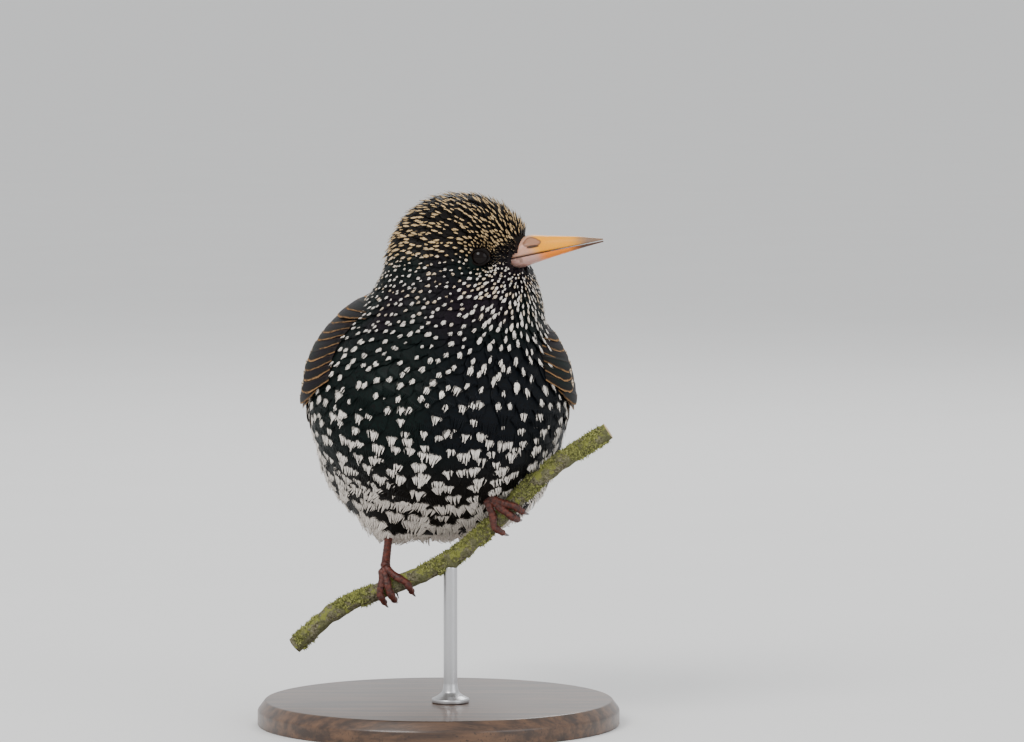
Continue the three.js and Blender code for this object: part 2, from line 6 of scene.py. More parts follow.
import bmesh
import bpy
import numpy as np
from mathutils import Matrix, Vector


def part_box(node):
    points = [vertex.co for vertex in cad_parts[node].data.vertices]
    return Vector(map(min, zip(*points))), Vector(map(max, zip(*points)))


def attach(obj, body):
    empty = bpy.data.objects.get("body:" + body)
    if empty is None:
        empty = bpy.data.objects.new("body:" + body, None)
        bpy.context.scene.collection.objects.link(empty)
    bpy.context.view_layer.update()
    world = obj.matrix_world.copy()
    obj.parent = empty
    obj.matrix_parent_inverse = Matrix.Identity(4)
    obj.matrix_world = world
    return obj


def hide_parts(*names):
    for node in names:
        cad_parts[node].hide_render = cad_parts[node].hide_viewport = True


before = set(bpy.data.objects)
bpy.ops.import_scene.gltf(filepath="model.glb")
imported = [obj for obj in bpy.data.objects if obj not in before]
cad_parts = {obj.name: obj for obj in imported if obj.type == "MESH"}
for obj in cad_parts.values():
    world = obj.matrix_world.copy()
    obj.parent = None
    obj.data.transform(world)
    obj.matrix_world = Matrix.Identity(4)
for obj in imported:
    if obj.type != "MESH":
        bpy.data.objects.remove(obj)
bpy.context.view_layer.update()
rng = np.random.default_rng(7)

MM = 0.001

# Driving sizes of the solids

BLEND = 4.0
# The body's rounded masses: centre, radii, and pitch about X in degrees.
TRUNK = [
    [0, -3, 105, 41.5, 35, 36, -35],
    [0, 14, 88, 38.5, 31, 30, -20],
    [0, 26, 100, 30, 38, 23, -38],
    [0, 49, 83, 14, 27, 13.5, -28],
]
NECK_AND_HEAD = [
    [6, -5, 133.5, 25, 22, 20, 0],
    [2.5, -8.5, 149.8, 16.8, 14.5, 18, 0],
    [11.5, -10, 153.5, 13, 8.5, 13.5, 0],
    [15, -10.4, 155, 11, 5.6, 7, 0],
    [16, -9.3, 135, 12.5, 12, 12, 0],
]
FOLD = [0, 34.8, 94.5, 28, 76, 18, -20.6]
THIGHS = [
    [-15.5, 2.5, 66, 6, 6.5, 6.5, 0],
    [14.5, 1, 71, 6, 6.5, 6, 0],
]

HEAD_TURN = -10
HEAD_AXIS = (6, -9)
EYE_RADIUS = 3.5
BILL_FORWARD = 16.6
BILL_HEIGHT = 149.7
BILL_PITCH = 11.5
# Along the bill: depth of the upper half, depth of the lower half, and half width.
BILL_STATIONS = np.array([
    [-1.5, 3.2, 3.2, 5.2],
    [3, 4.8, 3.5, 5.0],
    [7.7, 6.0, 2.9, 3.9],
    [13.5, 4.8, 2.1, 2.8],
    [19.5, 3.5, 1.45, 2.1],
    [24.5, 2.35, 0.95, 1.55],
    [28.5, 1.15, 0.6, 1.0],
    [31, 0.45, 0.4, 0.4],
])

WING_AXIS = np.array([0, -12, 112.0])
WING_PITCH = -20.6
TAIL_ROOT = np.array([0, 46, 89.0])
TAIL_TIP = np.array([0, 111, 63.5])
TAIL_DROOP = 0.12

PERCH_RADIUS = 2.8
PERCH_POINTS = np.array([
    [-46, -3, 25.5],
    [-31, -5, 38],
    [-16, -7, 44.6],
    [-2, -8.5, 50.6],
    [8, -10.5, 57],
    [18.5, -13, 66.5],
    [30, -15.5, 78.5],
    [41, -17, 87],
    [54, -18, 95.5],
])
CAD_GAP = 0.3


# Vectors

def unit(v):
    return v / (np.linalg.norm(v, axis=-1, keepdims=True) + 1e-12)


def smooth(x, low, high):
    t = np.clip((x - low) / (high - low), 0, 1)
    return t * t * (3 - 2 * t)


def mix(a, b, t):
    return a + (b - a) * t


class Form:
    """Rounded masses run together: a distance that is negative inside."""

    def __init__(self, rows):
        rows = np.array(rows, float)
        self.at = rows[:, 0:3]
        self.radii = rows[:, 3:6]
        self.cos = np.cos(np.radians(rows[:, 6]))
        self.sin = np.sin(np.radians(rows[:, 6]))

    def __call__(self, points):
        d = points[..., None, :] - self.at
        q = np.stack([
            d[..., 0],
            d[..., 1] * self.cos + d[..., 2] * self.sin,
            d[..., 2] * self.cos - d[..., 1] * self.sin,
        ], axis=-1)
        near = np.linalg.norm(q / self.radii, axis=-1)
        steep = np.linalg.norm(q / self.radii ** 2, axis=-1) + 1e-9
        each = near * (near - 1) / steep
        least = each.min(axis=-1)
        total = np.exp(-(each - least[..., None]) / BLEND).sum(axis=-1)
        return least - BLEND * np.log(total)

    def slope(self, points):
        step = 0.05
        parts = []
        for axis in range(3):
            shift = np.zeros(3)
            shift[axis] = step
            parts.append(self(points + shift) - self(points - shift))
        return np.stack(parts, axis=-1) / (2 * step)

    def normal(self, points):
        return unit(self.slope(points))

    def settle(self, points, turns=2):
        """The points moved onto the surface."""
        for _ in range(turns):
            slope = self.slope(points)
            off = self(points)[..., None]
            points = points - slope * off / ((slope ** 2).sum(axis=-1, keepdims=True) + 1e-9)
        return points

    def cast(self, start, out):
        """The points where rays from inside leave the form."""
        far = np.zeros(out.shape[:-1])
        for _ in range(40):
            far = far - np.clip(self(start + out * far[..., None]), -6, 2) * 0.85
        return start + out * far[..., None]


body = Form(TRUNK + NECK_AND_HEAD + THIGHS)
trunk = Form(TRUNK + [FOLD])


# Meshes

def new_object(name, verts, faces, uvs=None, material=None, smooth_shade=True):
    """An object from points in millimetres and rows of 4 (or 3) corners; uvs are per corner."""
    mesh = bpy.data.meshes.new(name)
    faces = np.asarray(faces, np.int32)
    corners = faces.shape[1]
    mesh.vertices.add(len(verts))
    mesh.vertices.foreach_set("co", (np.asarray(verts, np.float32) * MM).ravel())
    mesh.loops.add(faces.size)
    mesh.loops.foreach_set("vertex_index", faces.ravel())
    mesh.polygons.add(len(faces))
    mesh.polygons.foreach_set("loop_start", np.arange(0, faces.size, corners, dtype=np.int32))
    for uv_name, values in (uvs or {}).items():
        layer = mesh.uv_layers.new(name=uv_name)
        layer.data.foreach_set("uv", np.asarray(values, np.float32).ravel())
    mesh.update(calc_edges=True)
    mesh.validate(clean_customdata=False)
    mesh.polygons.foreach_set("use_smooth", np.full(len(mesh.polygons), smooth_shade))
    obj = bpy.data.objects.new(name, mesh)
    bpy.context.scene.collection.objects.link(obj)
    if material is not None:
        mesh.materials.append(material)
    return obj


def show(obj, *solids):
    """Sets a piece on the still part's only body, in place of these solids."""
    if solids:
        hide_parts(*solids)
    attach(obj, "root")


def grid_faces(rows, columns, closed_rows=False, closed_columns=False):
    r = np.arange(rows if closed_rows else rows - 1)
    c = np.arange(columns if closed_columns else columns - 1)
    r, c = np.meshgrid(r, c, indexing="ij")
    r2 = (r + 1) % rows
    c2 = (c + 1) % columns
    faces = np.stack([r * columns + c, r * columns + c2, r2 * columns + c2, r2 * columns + c], -1)
    return faces.reshape(-1, 4)


def outward(verts, faces):
    """Faces turned so that their normals point away from the closed mesh's inside."""
    a, b, c, d = (verts[faces[:, k]] for k in range(4))
    volume = (np.cross(b - a, c - a) * a).sum() + (np.cross(c - a, d - a) * a).sum()
    return faces if volume > 0 else faces[:, ::-1]


def tube_mesh(rings):
    """A closed tube through rings of points, its ends closed on their middles."""
    count, sides = rings.shape[:2]
    start = np.repeat(rings[:1].mean(axis=1, keepdims=True), sides, axis=1)
    end = np.repeat(rings[-1:].mean(axis=1, keepdims=True), sides, axis=1)
    verts = np.concatenate([start, rings, end]).reshape(-1, 3)
    faces = grid_faces(count + 2, sides, closed_columns=True)
    return verts, outward(verts, faces)


def ring_frames(points, up=(0.3, 1.0, 0.2)):
    """Two vectors across a path, turned as little as it allows."""
    run = unit(np.gradient(points, axis=0))
    side = np.zeros_like(points)
    last = np.array(up, float)
    for i, direction in enumerate(run):
        last = last - direction * last.dot(direction)
        last = last / np.linalg.norm(last)
        side[i] = last
    return side, np.cross(run, side)


def weld(obj, distance=1e-7):
    """Joins the doubled points at a tube's closed ends."""
    work = bmesh.new()
    work.from_mesh(obj.data)
    bmesh.ops.remove_doubles(work, verts=work.verts, dist=distance)
    work.to_mesh(obj.data)
    work.free()
    return obj


# Node trees

class Value:
    """What a node gives, so that a material can be written as plain sums."""

    def __init__(self, tree, socket):
        self.tree = tree
        self.socket = socket

    def math(self, operation, other=0.0):
        return self.tree.give(0, "ShaderNodeMath", {0: self, 1: other}, operation=operation)

    def __add__(self, other):
        return self.math("ADD", other)

    def __sub__(self, other):
        return self.math("SUBTRACT", other)

    def __mul__(self, other):
        return self.math("MULTIPLY", other)

    def __truediv__(self, other):
        return self.math("DIVIDE", other)

    def __pow__(self, other):
        return self.math("POWER", other)

    def __abs__(self):
        return self.math("ABSOLUTE")

    def most(self, other):
        return self.math("MAXIMUM", other)

    def rest(self):
        return self.tree.give(0, "ShaderNodeMath", {0: 1.0, 1: self}, operation="SUBTRACT")

    def ramp(self, low, high, to_low=0.0, to_high=1.0, kind="SMOOTHSTEP"):
        ends = {"Value": self, "From Min": low, "From Max": high, "To Min": to_low, "To Max": to_high}
        return self.tree.give(0, "ShaderNodeMapRange", ends, interpolation_type=kind)


class Tree:
    """Short calls for building a material."""

    def __init__(self, name):
        self.material = bpy.data.materials.new(name)
        self.material.use_nodes = True
        self.nodes = self.material.node_tree.nodes
        self.links = self.material.node_tree.links
        self.shader = self.nodes["Principled BSDF"]

    def put(self, socket, value):
        if isinstance(value, Value):
            self.links.new(value.socket, socket)
        elif isinstance(value, tuple):
            socket.default_value = (*value, 1)
        else:
            socket.default_value = value

    def node(self, kind, inputs=None, **settings):
        made = self.nodes.new(kind)
        for key, value in settings.items():
            setattr(made, key, value)
        for key, value in (inputs or {}).items():
            self.put(made.inputs[key], value)
        return made

    def give(self, output, kind, inputs=None, **settings):
        return Value(self, self.node(kind, inputs, **settings).outputs[output])

    def mix(self, share, a, b):
        return self.give(2, "ShaderNodeMix", {0: share, 6: a, 7: b}, data_type="RGBA")

    def noise(self, vector, scale, detail=2.0, roughness=0.5, seed=None):
        inputs = {"Vector": vector, "Scale": scale, "Detail": detail, "Roughness": roughness}
        if seed is not None:
            inputs["W"] = seed
        dimensions = "3D" if seed is None else "4D"
        return self.give("Fac", "ShaderNodeTexNoise", inputs, noise_dimensions=dimensions)

    def xyz(self, vector):
        made = self.node("ShaderNodeSeparateXYZ", {0: vector})
        return [Value(self, socket) for socket in made.outputs]

    def vector(self, x, y, z=0.0):
        return self.give(0, "ShaderNodeCombineXYZ", {0: x, 1: y, 2: z})

    def uv(self, name):
        return self.give(0, "ShaderNodeUVMap", uv_map=name)

    def trait(self):
        """The feather's own colour, and a draw between 0 and 1."""
        made = self.node("ShaderNodeVertexColor", layer_name="Trait")
        return Value(self, made.outputs["Color"]), Value(self, made.outputs["Alpha"])

    def place(self):
        """The point's place in millimetres."""
        here = self.give("Object", "ShaderNodeTexCoord")
        return self.give(0, "ShaderNodeVectorMath", {0: here, "Scale": 1 / MM}, operation="SCALE")

    def bump(self, height, strength, distance):
        self.put(self.shader.inputs["Normal"], self.give(
            0, "ShaderNodeBump", {"Height": height, "Strength": strength, "Distance": distance},
        ))

    def finish(self, **inputs):
        for key, value in inputs.items():
            self.put(self.shader.inputs[key.replace("_", " ")], value)
        return self.material


# Plumage colour, the same on skin and coat: black with a painted green, blue or purple sheen by place

SHEEN = {
    "green": (0.003, 0.008, 0.007),
    "blue": (0.003, 0.0045, 0.007),
    "purple": (0.010, 0.005, 0.010),
    "crown": (0.010, 0.008, 0.007),
    "belly": (0.007, 0.006, 0.005),
}


def sheen_colour(tree):
    place = tree.place()
    x, _, z = tree.xyz(place)
    blotch = tree.noise(place, 0.045, 1.0)
    breast = tree.mix((x + blotch * 30.0).ramp(4.0, 26.0), SHEEN["green"], SHEEN["blue"])
    neck = tree.mix(blotch.ramp(0.35, 0.62), SHEEN["purple"], SHEEN["green"])
    colour = tree.mix(z.ramp(118.0, 130.0), breast, neck)
    colour = tree.mix(z.ramp(147.0, 156.0), colour, SHEEN["crown"])
    return tree.mix(z.ramp(92.0, 76.0), colour, SHEEN["belly"])


def skin_material():
    tree = Tree("skin")
    return tree.finish(Base_Color=sheen_colour(tree), Metallic=0.1, Roughness=0.6, Specular_IOR_Level=0.06)


def plumage_material():
    """Vane holds the place in the pale mark's own units: across from the shaft, and back from
    the tip. Barb holds the same in millimetres. Trait is the mark's colour, and a draw."""
    tree = Tree("plumage")
    across, back, _ = tree.xyz(tree.uv("Vane"))
    side, run, _ = tree.xyz(tree.uv("Barb"))
    colour, draw = tree.trait()
    _, _, z = tree.xyz(tree.place())
    seed = draw * 40.0

    # Barbs run outwards and towards the tip, and fray the mark's edge.
    aside = abs(side)
    barb = tree.noise(tree.vector((run + aside * 0.8) * 2.6, aside), 1.0, 2.0, 0.6, seed)
    lump = tree.noise(tree.vector(side, run), 0.9, 1.0, 0.5, seed)
    fray = (barb - 0.5) * 1.1
    frayed = back + fray

    # On breast and belly the mark is a heart whose two lobes lie towards the feather's root.
    off_shaft = abs(across)
    lobe = ((off_shaft - 0.5) ** 2.0 + (frayed - 0.85) ** 2.0).math("SQRT")
    point = (frayed + off_shaft * 0.4).ramp(0.95, 0.6)
    heart = lobe.ramp(0.70, 0.46).most(point * off_shaft.ramp(1.25, 0.85))

    # Higher up it is a drop, narrower towards the root.
    wobble = (lump - 0.5) * 0.9
    wide = ((across + wobble) / back.ramp(0.3, 1.5, 0.82, 0.42, "LINEAR")) ** 2.0
    high = ((back + fray * 1.5 - 0.74) / 0.76) ** 2.0
    drop = (wide + high).math("SQRT").ramp(1.14, 0.86)

    lobed = (z + draw * 16.0).ramp(118.0, 98.0)
    mark = (drop + (heart - drop) * lobed) * lump.ramp(0.22, 0.42, 0.55, 1.0)
    pale = tree.mix(barb.ramp(0.3, 0.65), (0.25, 0.22, 0.19), colour)
    pale = tree.mix(0.62, pale, colour)
    dark = tree.mix(barb.ramp(0.30, 0.62), (0.003, 0.003, 0.003), sheen_colour(tree))
    tree.bump(barb, 0.5, 0.00015)
    return tree.finish(
        Base_Color=tree.mix(mark, dark, pale),
        Metallic=mark.rest() * 0.14,
        Roughness=mark.ramp(0.0, 1.0, 0.46, 0.85),
        Specular_IOR_Level=0.08,
    )


# The skin, under the coat

def coat_depth(points):
    """How far the skin lies under the solids' surface."""
    reach, left, up = bill_place(points)
    half = np.interp(reach, BILL_STATIONS[:, 0], BILL_STATIONS[:, 3])
    at_bill = smooth(reach, -4, 0) * smooth(-np.abs(left) / half, -2.0, -1.3)
    at_bill = at_bill * smooth(-up, -2.2, -0.8) * smooth(up, -6.5, -4.5)
    return np.interp(points[..., 2], [60, 90, 125, 140, 155], [2.0, 1.8, 1.4, 1.0, 0.8]) + 2.4 * at_bill


def sphere_directions(rows, columns):
    polar = np.linspace(0.02, math.pi - 0.02, rows)
    turn = np.arange(columns) * 2 * math.pi / columns
    polar, turn = np.meshgrid(polar, turn, indexing="ij")
    return np.stack([np.sin(polar) * np.cos(turn), np.sin(polar) * np.sin(turn), np.cos(polar)], -1)


# Places inside trunk, neck and head from which the skin is cast
SKIN_CENTRES = ((0, 16, 97), (5, -5, 132.5), (9, -9.5, 149))
SKIN_CELL = 1.3


def make_skin():
    """The skin's mesh, and the same points on the solids' surface for feathers to grow from."""
    verts, faces = [], []
    count = 0
    for centre in SKIN_CENTRES:
        rings = body.cast(np.array(centre, float), sphere_directions(44, 64))
        blob, sides = tube_mesh(rings)
        verts.append(blob)
        faces.append(sides + count)
        count += len(blob)
    raw = weld(new_object("skin_raw", np.concatenate(verts), np.concatenate(faces)), 1e-6)
    remesh = raw.modifiers.new("remesh", "REMESH")
    remesh.mode = "VOXEL"
    remesh.voxel_size = SKIN_CELL * MM
    shown = raw.evaluated_get(bpy.context.evaluated_depsgraph_get()).to_mesh()
    co = np.zeros(len(shown.vertices) * 3, np.float32)
    shown.vertices.foreach_get("co", co)
    corners = np.zeros(len(shown.loops), np.int32)
    shown.loops.foreach_get("vertex_index", corners)
    points = body.settle(co.reshape(-1, 3).astype(float) / MM, 3)
    bpy.data.objects.remove(raw)
    faces = corners.reshape(-1, 4)
    under = points - body.normal(points) * coat_depth(points)[:, None]
    skin = new_object("skin", under, faces, material=skin_material())
    show(skin, "torso", "neck", "head", "thigh_right", "thigh_left")
    return points, faces


# The head's own frame

def head_point(forward, left, height):
    turn = math.radians(HEAD_TURN)
    forward, left, height = np.broadcast_arrays(forward, left, height)
    return np.stack([
        HEAD_AXIS[0] + forward * math.cos(turn) - left * math.sin(turn),
        HEAD_AXIS[1] + forward * math.sin(turn) + left * math.cos(turn),
        height + 0.0,
    ], -1)


def bill_place(points):
    """How far along the bill, to its left and above its gape line a point is."""
    turn = math.radians(HEAD_TURN)
    pitch = math.radians(BILL_PITCH)
    dx = points[..., 0] - HEAD_AXIS[0]
    dy = points[..., 1] - HEAD_AXIS[1]
    forward = dx * math.cos(turn) + dy * math.sin(turn) - BILL_FORWARD
    left = dy * math.cos(turn) - dx * math.sin(turn)
    height = points[..., 2] - BILL_HEIGHT
    along = forward * math.cos(pitch) + height * math.sin(pitch)
    return along, left, height * math.cos(pitch) - forward * math.sin(pitch)


def bill_point(along, left, up):
    pitch = math.radians(BILL_PITCH)
    forward = BILL_FORWARD + along * math.cos(pitch) - up * math.sin(pitch)
    return head_point(forward, left, BILL_HEIGHT + along * math.sin(pitch) + up * math.cos(pitch))


def eye_centre(side):
    low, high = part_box("eye_left" if side > 0 else "eye_right")
    return np.array((low + high) / 2) / MM


def eye_out(side):
    return unit(head_point(0, side, 0) - head_point(0, 0, 0))


MUZZLE = head_point(24, 0, 151)
EYES = [(eye_centre(side), eye_out(side)) for side in (-1, 1)]


# Where the coat's pieces part: heights, and how far back the back begins
HEAD_FROM = 141
NECK_FROM = 121
BREAST_FROM = 92
BACK_FROM = 12


# How the feathers lie: away from the bill over head, throat and breast, then down and back.

def feather_lie(points, normals):
    away = points - MUZZLE
    far = np.linalg.norm(away, axis=-1)
    away = unit(away)
    down = unit(np.array([0, 0.5, -0.87])) + np.zeros_like(points)
    down[..., 0] += 0.25 * np.tanh(points[..., 0] / 8) * smooth(-points[..., 2], -100, -75)
    trunk_share = smooth(far, 34, 88) + 0.5 * smooth(points[..., 1], 8, 30)
    lie = mix(away, down, np.clip(trunk_share, 0, 1)[..., None])
    for centre, out in EYES:
        off = points - centre
        off = off - (off @ out)[..., None] * out
        near = np.linalg.norm(off, axis=-1, keepdims=True)
        side = ((points - centre) @ out > -4)[..., None]
        lie = lie + unit(off) * 0.9 * np.exp(-((near / 3.8) ** 2)) * side
    return unit(lie - normals * (lie * normals).sum(-1, keepdims=True))


def spacing_at(points):
    far = np.linalg.norm(points - MUZZLE, axis=-1)
    by_height = np.interp(
        points[..., 2],
        [70, 100, 112, 120, 127, 134, 141, 150, 165],
        [5.1, 4.6, 4.1, 3.5, 2.95, 2.4, 1.9, 1.7, 1.8],
    )
    near_eye = np.minimum(*(np.linalg.norm(points - centre, axis=-1) for centre, _ in EYES))
    face = np.interp(far, [8, 16, 30], [0.56, 0.70, 1.0])
    return by_height * face * np.interp(near_eye, [3, 9], [0.55, 1.0])


def wing_place(points):
    """How far along the wing's axis a point is, and its angle from the back in degrees."""
    pitch = math.radians(WING_PITCH)
    off = points - WING_AXIS
    along = off[..., 1] * math.cos(pitch) + off[..., 2] * math.sin(pitch)
    up = off[..., 2] * math.cos(pitch) - off[..., 1] * math.sin(pitch)
    return along, np.degrees(np.arctan2(np.abs(off[..., 0]), up))


def free_of_pieces(points):
    """True where a feather may be rooted: not under the wings, the bill or the eyes."""
    along, angle = wing_place(points)
    share = np.clip((along - 2) / 70, 0, 1)
    low = mix(105, 88, share)
    high = mix(30, 60, share)
    under_wing = (along > 8) & (along < 78) & (angle > high + 5) & (angle < low - 4)
    reach, left, up = bill_place(points)
    half = np.interp(reach, BILL_STATIONS[:, 0], BILL_STATIONS[:, 3])
    above = np.interp(reach, BILL_STATIONS[:, 0], BILL_STATIONS[:, 1])
    below = np.interp(reach, BILL_STATIONS[:, 0], BILL_STATIONS[:, 2])
    beside = (np.abs(left) < half + 2.5) & (up < above + 0.5) & (up > -below - 0.5)
    bare = beside & (reach > np.where(up > 0.9, 5.2, 0.2 - 0.4 * up))
    keep = ~under_wing & ~bare
    for centre, out in EYES:
        off = points - centre
        height = off @ out
        radius = np.linalg.norm(off - height[..., None] * out, axis=-1)
        keep &= ~((radius < 2.85) & (height > -3))
    return keep


# Trial spots for each feather that finds room
TRIAL_SPOTS = 16


def scatter_roots(points, faces):
    """Roots spread evenly over the surface, as far apart as their zone asks."""
    a, b, c = (points[faces[:, k]] for k in range(3))
    d = points[faces[:, 3]]
    area = np.linalg.norm(np.cross(c - a, d - b), axis=-1) / 2
    middle = (a + b + c + d) / 4
    odds = area / spacing_at(middle) ** 2
    total = int(odds.sum() * TRIAL_SPOTS)
    pick = rng.choice(len(faces), total, p=odds / odds.sum())
    s, t = rng.random((2, total, 1))
    spots = mix(mix(a[pick], b[pick], s), mix(d[pick], c[pick], s), t)
    spots = spots[free_of_pieces(spots)]
    gap = spacing_at(spots) ** 2 * 0.72
    store = np.zeros((len(spots), 3))
    count = 0
    for spot, least in zip(spots, gap):
        near = ((store[:count] - spot) ** 2).sum(1) if count else np.array([1e9])
        if near.min() > least:
            store[count] = spot
            count += 1
    kept = store[:count].copy()
    for _ in range(6):
        want_gap = spacing_at(kept)[:, None] * 1.12
        move = np.zeros_like(kept)
        for start in range(0, count, 500):
            part = slice(start, start + 500)
            off = kept[part, None, :] - kept[None]
            far = np.linalg.norm(off, axis=-1)
            push = np.clip(1 - far / want_gap[part], 0, 1) * (far > 1e-6)
            move[part] = (off / (far[..., None] + 1e-6) * (push * want_gap[part] * 0.35)[..., None]).sum(1)
        kept = body.settle(kept + move)
    return kept[free_of_pieces(kept)]


# The coat's vanes

def vane_pattern(rows, split, strands, strand_rows):
    """One vane's corners: whole rows first, then separate strands of barbs at the end. Places
    are across from -1 to 1, and along from 0 to 1."""
    across = np.linspace(-1, 1, strands + 1)
    columns = strands + 1
    u = [x for _ in rows for x in across]
    v = [row for row in rows for _ in across]
    strand = [min(k, strands - 1) for _ in rows for k in range(columns)]
    quads = []
    for r in range(len(rows) - 1):
        for k in range(strands):
            first = r * columns + k
            quads.append([first, first + 1, first + 1 + columns, first + columns])
    last = (len(rows) - 1) * columns
    for j in range(strands):
        left, right = last + j, last + j + 1
        for row in strand_rows:
            share = (row - split) / (1 - split)
            half = (1 - 0.26 * share ** 1.8) / strands
            middle = (across[j] + across[j + 1]) / 2
            new = len(u)
            u += [middle - half, middle + half]
            v += [row, row]
            strand += [j, j]
            quads.append([left, right, new + 1, new])
            left, right = new, new + 1
    quads = np.array(quads)
    count = len(u)
    edges = {}
    for quad in quads:
        for k in range(4):
            a, b = quad[k], quad[(k + 1) % 4]
            if (b, a) in edges:
                del edges[(b, a)]
            else:
                edges[(a, b)] = True
    rim = np.array([[b, a, a + count, b + count] for a, b in edges])
    under = quads[:, ::-1] + count
    return {
        "u": np.array(u),
        "v": np.array(v),
        "strand": np.array(strand),
        "strands": strands,
        "split": split,
        "faces": np.concatenate([quads, under, rim]),
    }


# Body feathers, and the narrower ones of the head
BROAD = vane_pattern([0, 0.2, 0.38, 0.52, 0.62], 0.62, 11, [0.72, 0.82, 0.91, 1.0])
HACKLE = vane_pattern([0, 0.25, 0.45, 0.6], 0.6, 5, [0.75, 0.88, 1.0])


def vane_points(pattern, roots, length, half, lance, lift, convex, turn, loose):
    """Points of every feather's upper face, and their places in the vane, in millimetres."""
    count = len(roots)
    u, v = pattern["u"], pattern["v"]
    steps = 12
    normals = body.normal(roots)
    path = [roots]
    heading = feather_lie(roots, normals)
    spin = np.radians(turn)[:, None]
    for _ in range(steps):
        here = path[-1]
        normal = body.normal(here)
        lie = feather_lie(here, normal)
        heading = unit(mix(heading, lie, 0.5))
        run = heading * np.cos(spin) + np.cross(normal, heading) * np.sin(spin)
        path.append(body.settle(here + run * (length / steps)[:, None], 1))
    path = np.stack(path, 1)

    strand_draw = rng.normal(0, 1, (count, pattern["strands"]))[:, pattern["strand"]]
    strand_lift = rng.normal(0, 1, (count, pattern["strands"]))[:, pattern["strand"]]
    past = np.clip((v - pattern["split"]) / (1 - pattern["split"]), 0, 1)
    tip_curve = 1 - (0.13 + 0.30 * lance[:, None]) * np.abs(u) ** 1.8
    along = v * (1 - past * (1 - tip_curve)) - (v > 0.5) * (v - 0.5) * (1 - tip_curve) * 0.5 * (1 - past)
    along = along + strand_draw * past * 0.04
    round_width = np.interp(v, [0, 0.3, 0.6, 0.8, 1], [0.5, 0.95, 1, 0.86, 0.55])
    lance_width = np.interp(v, [0, 0.3, 0.6, 0.8, 1], [0.6, 1, 0.92, 0.78, 0.40])
    width = mix(round_width, lance_width, lance[:, None])
    aside = u * width * half[:, None] + past ** 2 * 0.09 * strand_lift * half[:, None]
    along = np.clip(along, 0, 1.05)

    place = along * steps
    low = np.clip(np.floor(place).astype(int), 0, steps - 1)
    part = (place - low)[..., None]
    which = np.arange(count)[:, None]
    centre = mix(path[which, low], path[which, low + 1], part)
    run = unit(path[which, low + 1] - path[which, low])
    flat = centre.reshape(-1, 3)
    normal = body.normal(flat).reshape(centre.shape)
    side = np.cross(normal, run)
    spread = centre + side * aside[..., None]
    spread = body.settle(spread.reshape(-1, 3), 1).reshape(centre.shape)
    normal = body.normal(spread.reshape(-1, 3)).reshape(centre.shape)
    rise = mix(lift[0][:, None], lift[1][:, None], along ** 1.25)
    rise = rise - convex[:, None] * u ** 2 * (0.35 + 0.65 * v)
    rise = rise + loose[:, None] * past * (0.35 + 0.5 * strand_lift)
    return spread + normal * rise[..., None], normal, aside, along * length[:, None]


# The coat's unwrap: the cells along its side, and the size of a feather's own patch
CELLS = 290
PATCH = 0.003
VANE_THICK = 0.07


def patch_cells(roots):
    """A free cell of the unwrap for each root, as near its own place as can be."""
    turn = np.arctan2(roots[:, 0] - 3, -(roots[:, 1] - 8)) / (2 * math.pi) + 0.5
    height = (roots[:, 2] - 55) / (170 - 55)
    column = np.clip((turn * CELLS).astype(int), 0, CELLS - 1)
    row = np.clip((height * CELLS).astype(int), 0, CELLS - 1)
    taken = np.zeros((CELLS, CELLS), bool)
    cells = np.zeros((len(roots), 2))
    for i, (c, r) in enumerate(zip(column, row)):
        ring = 0
        while True:
            c0, c1 = max(c - ring, 0), min(c + ring + 1, CELLS)
            r0, r1 = max(r - ring, 0), min(r + ring + 1, CELLS)
            free = np.argwhere(~taken[c0:c1, r0:r1])
            if len(free):
                found = free[0] + (c0, r0)
                break
            ring += 1
        taken[found[0], found[1]] = True
        cells[i] = (found + 0.5) / CELLS
    return cells


def make_coat(name, pattern, roots, kinds, material):
    """Joined vanes as one piece, each a thin closed form."""
    count = len(roots)
    top, normal, aside, along = vane_points(
        pattern, roots, kinds["length"], kinds["half"], kinds["lance"], kinds["lift"],
        kinds["convex"], kinds["turn"], kinds["loose"],
    )
    thick = VANE_THICK * (1 - 0.6 * pattern["v"])[None, :, None]
    verts = np.concatenate([top, top - normal * thick], axis=1)
    points = verts.shape[1]
    offsets = np.arange(count)[:, None, None] * points
    faces = (pattern["faces"][None] + offsets).reshape(-1, 4)
    faces = faces if vane_faces_out(verts, normal, pattern) else faces[:, ::-1]

    back = kinds["length"][:, None] - along
    mark_back = back / kinds["mark"][1][:, None] - kinds["shift"][:, None]
    mark = np.stack([aside / kinds["mark"][0][:, None], mark_back], -1)
    barb = np.stack([aside, back], -1)
    cells = patch_cells(roots)
    local = np.stack([pattern["u"], 2 * pattern["v"] - 1], -1) * PATCH * 0.45
    patch = cells[:, None, :] + local[None]
    both = [np.concatenate([value, value], 1).reshape(-1, 2) for value in (mark, barb, patch)]
    corner = faces.ravel()
    uvs = {"Vane": both[0][corner], "Barb": both[1][corner], "OFBake": both[2][corner]}
    coat = new_object(name, verts.reshape(-1, 3), faces, uvs, material)
    trait = np.repeat(np.concatenate([kinds["colour"], kinds["draw"][:, None]], 1), points, axis=0)
    layer = coat.data.color_attributes.new(name="Trait", type="FLOAT_COLOR", domain="POINT")
    layer.data.foreach_set("color", trait.astype(np.float32).ravel())
    return coat


def vane_faces_out(verts, normal, pattern):
    a, b, c, _ = pattern["faces"][0]
    first = np.cross(verts[:, b] - verts[:, a], verts[:, c] - verts[:, a])
    return (first * normal[:, a]).sum() > 0


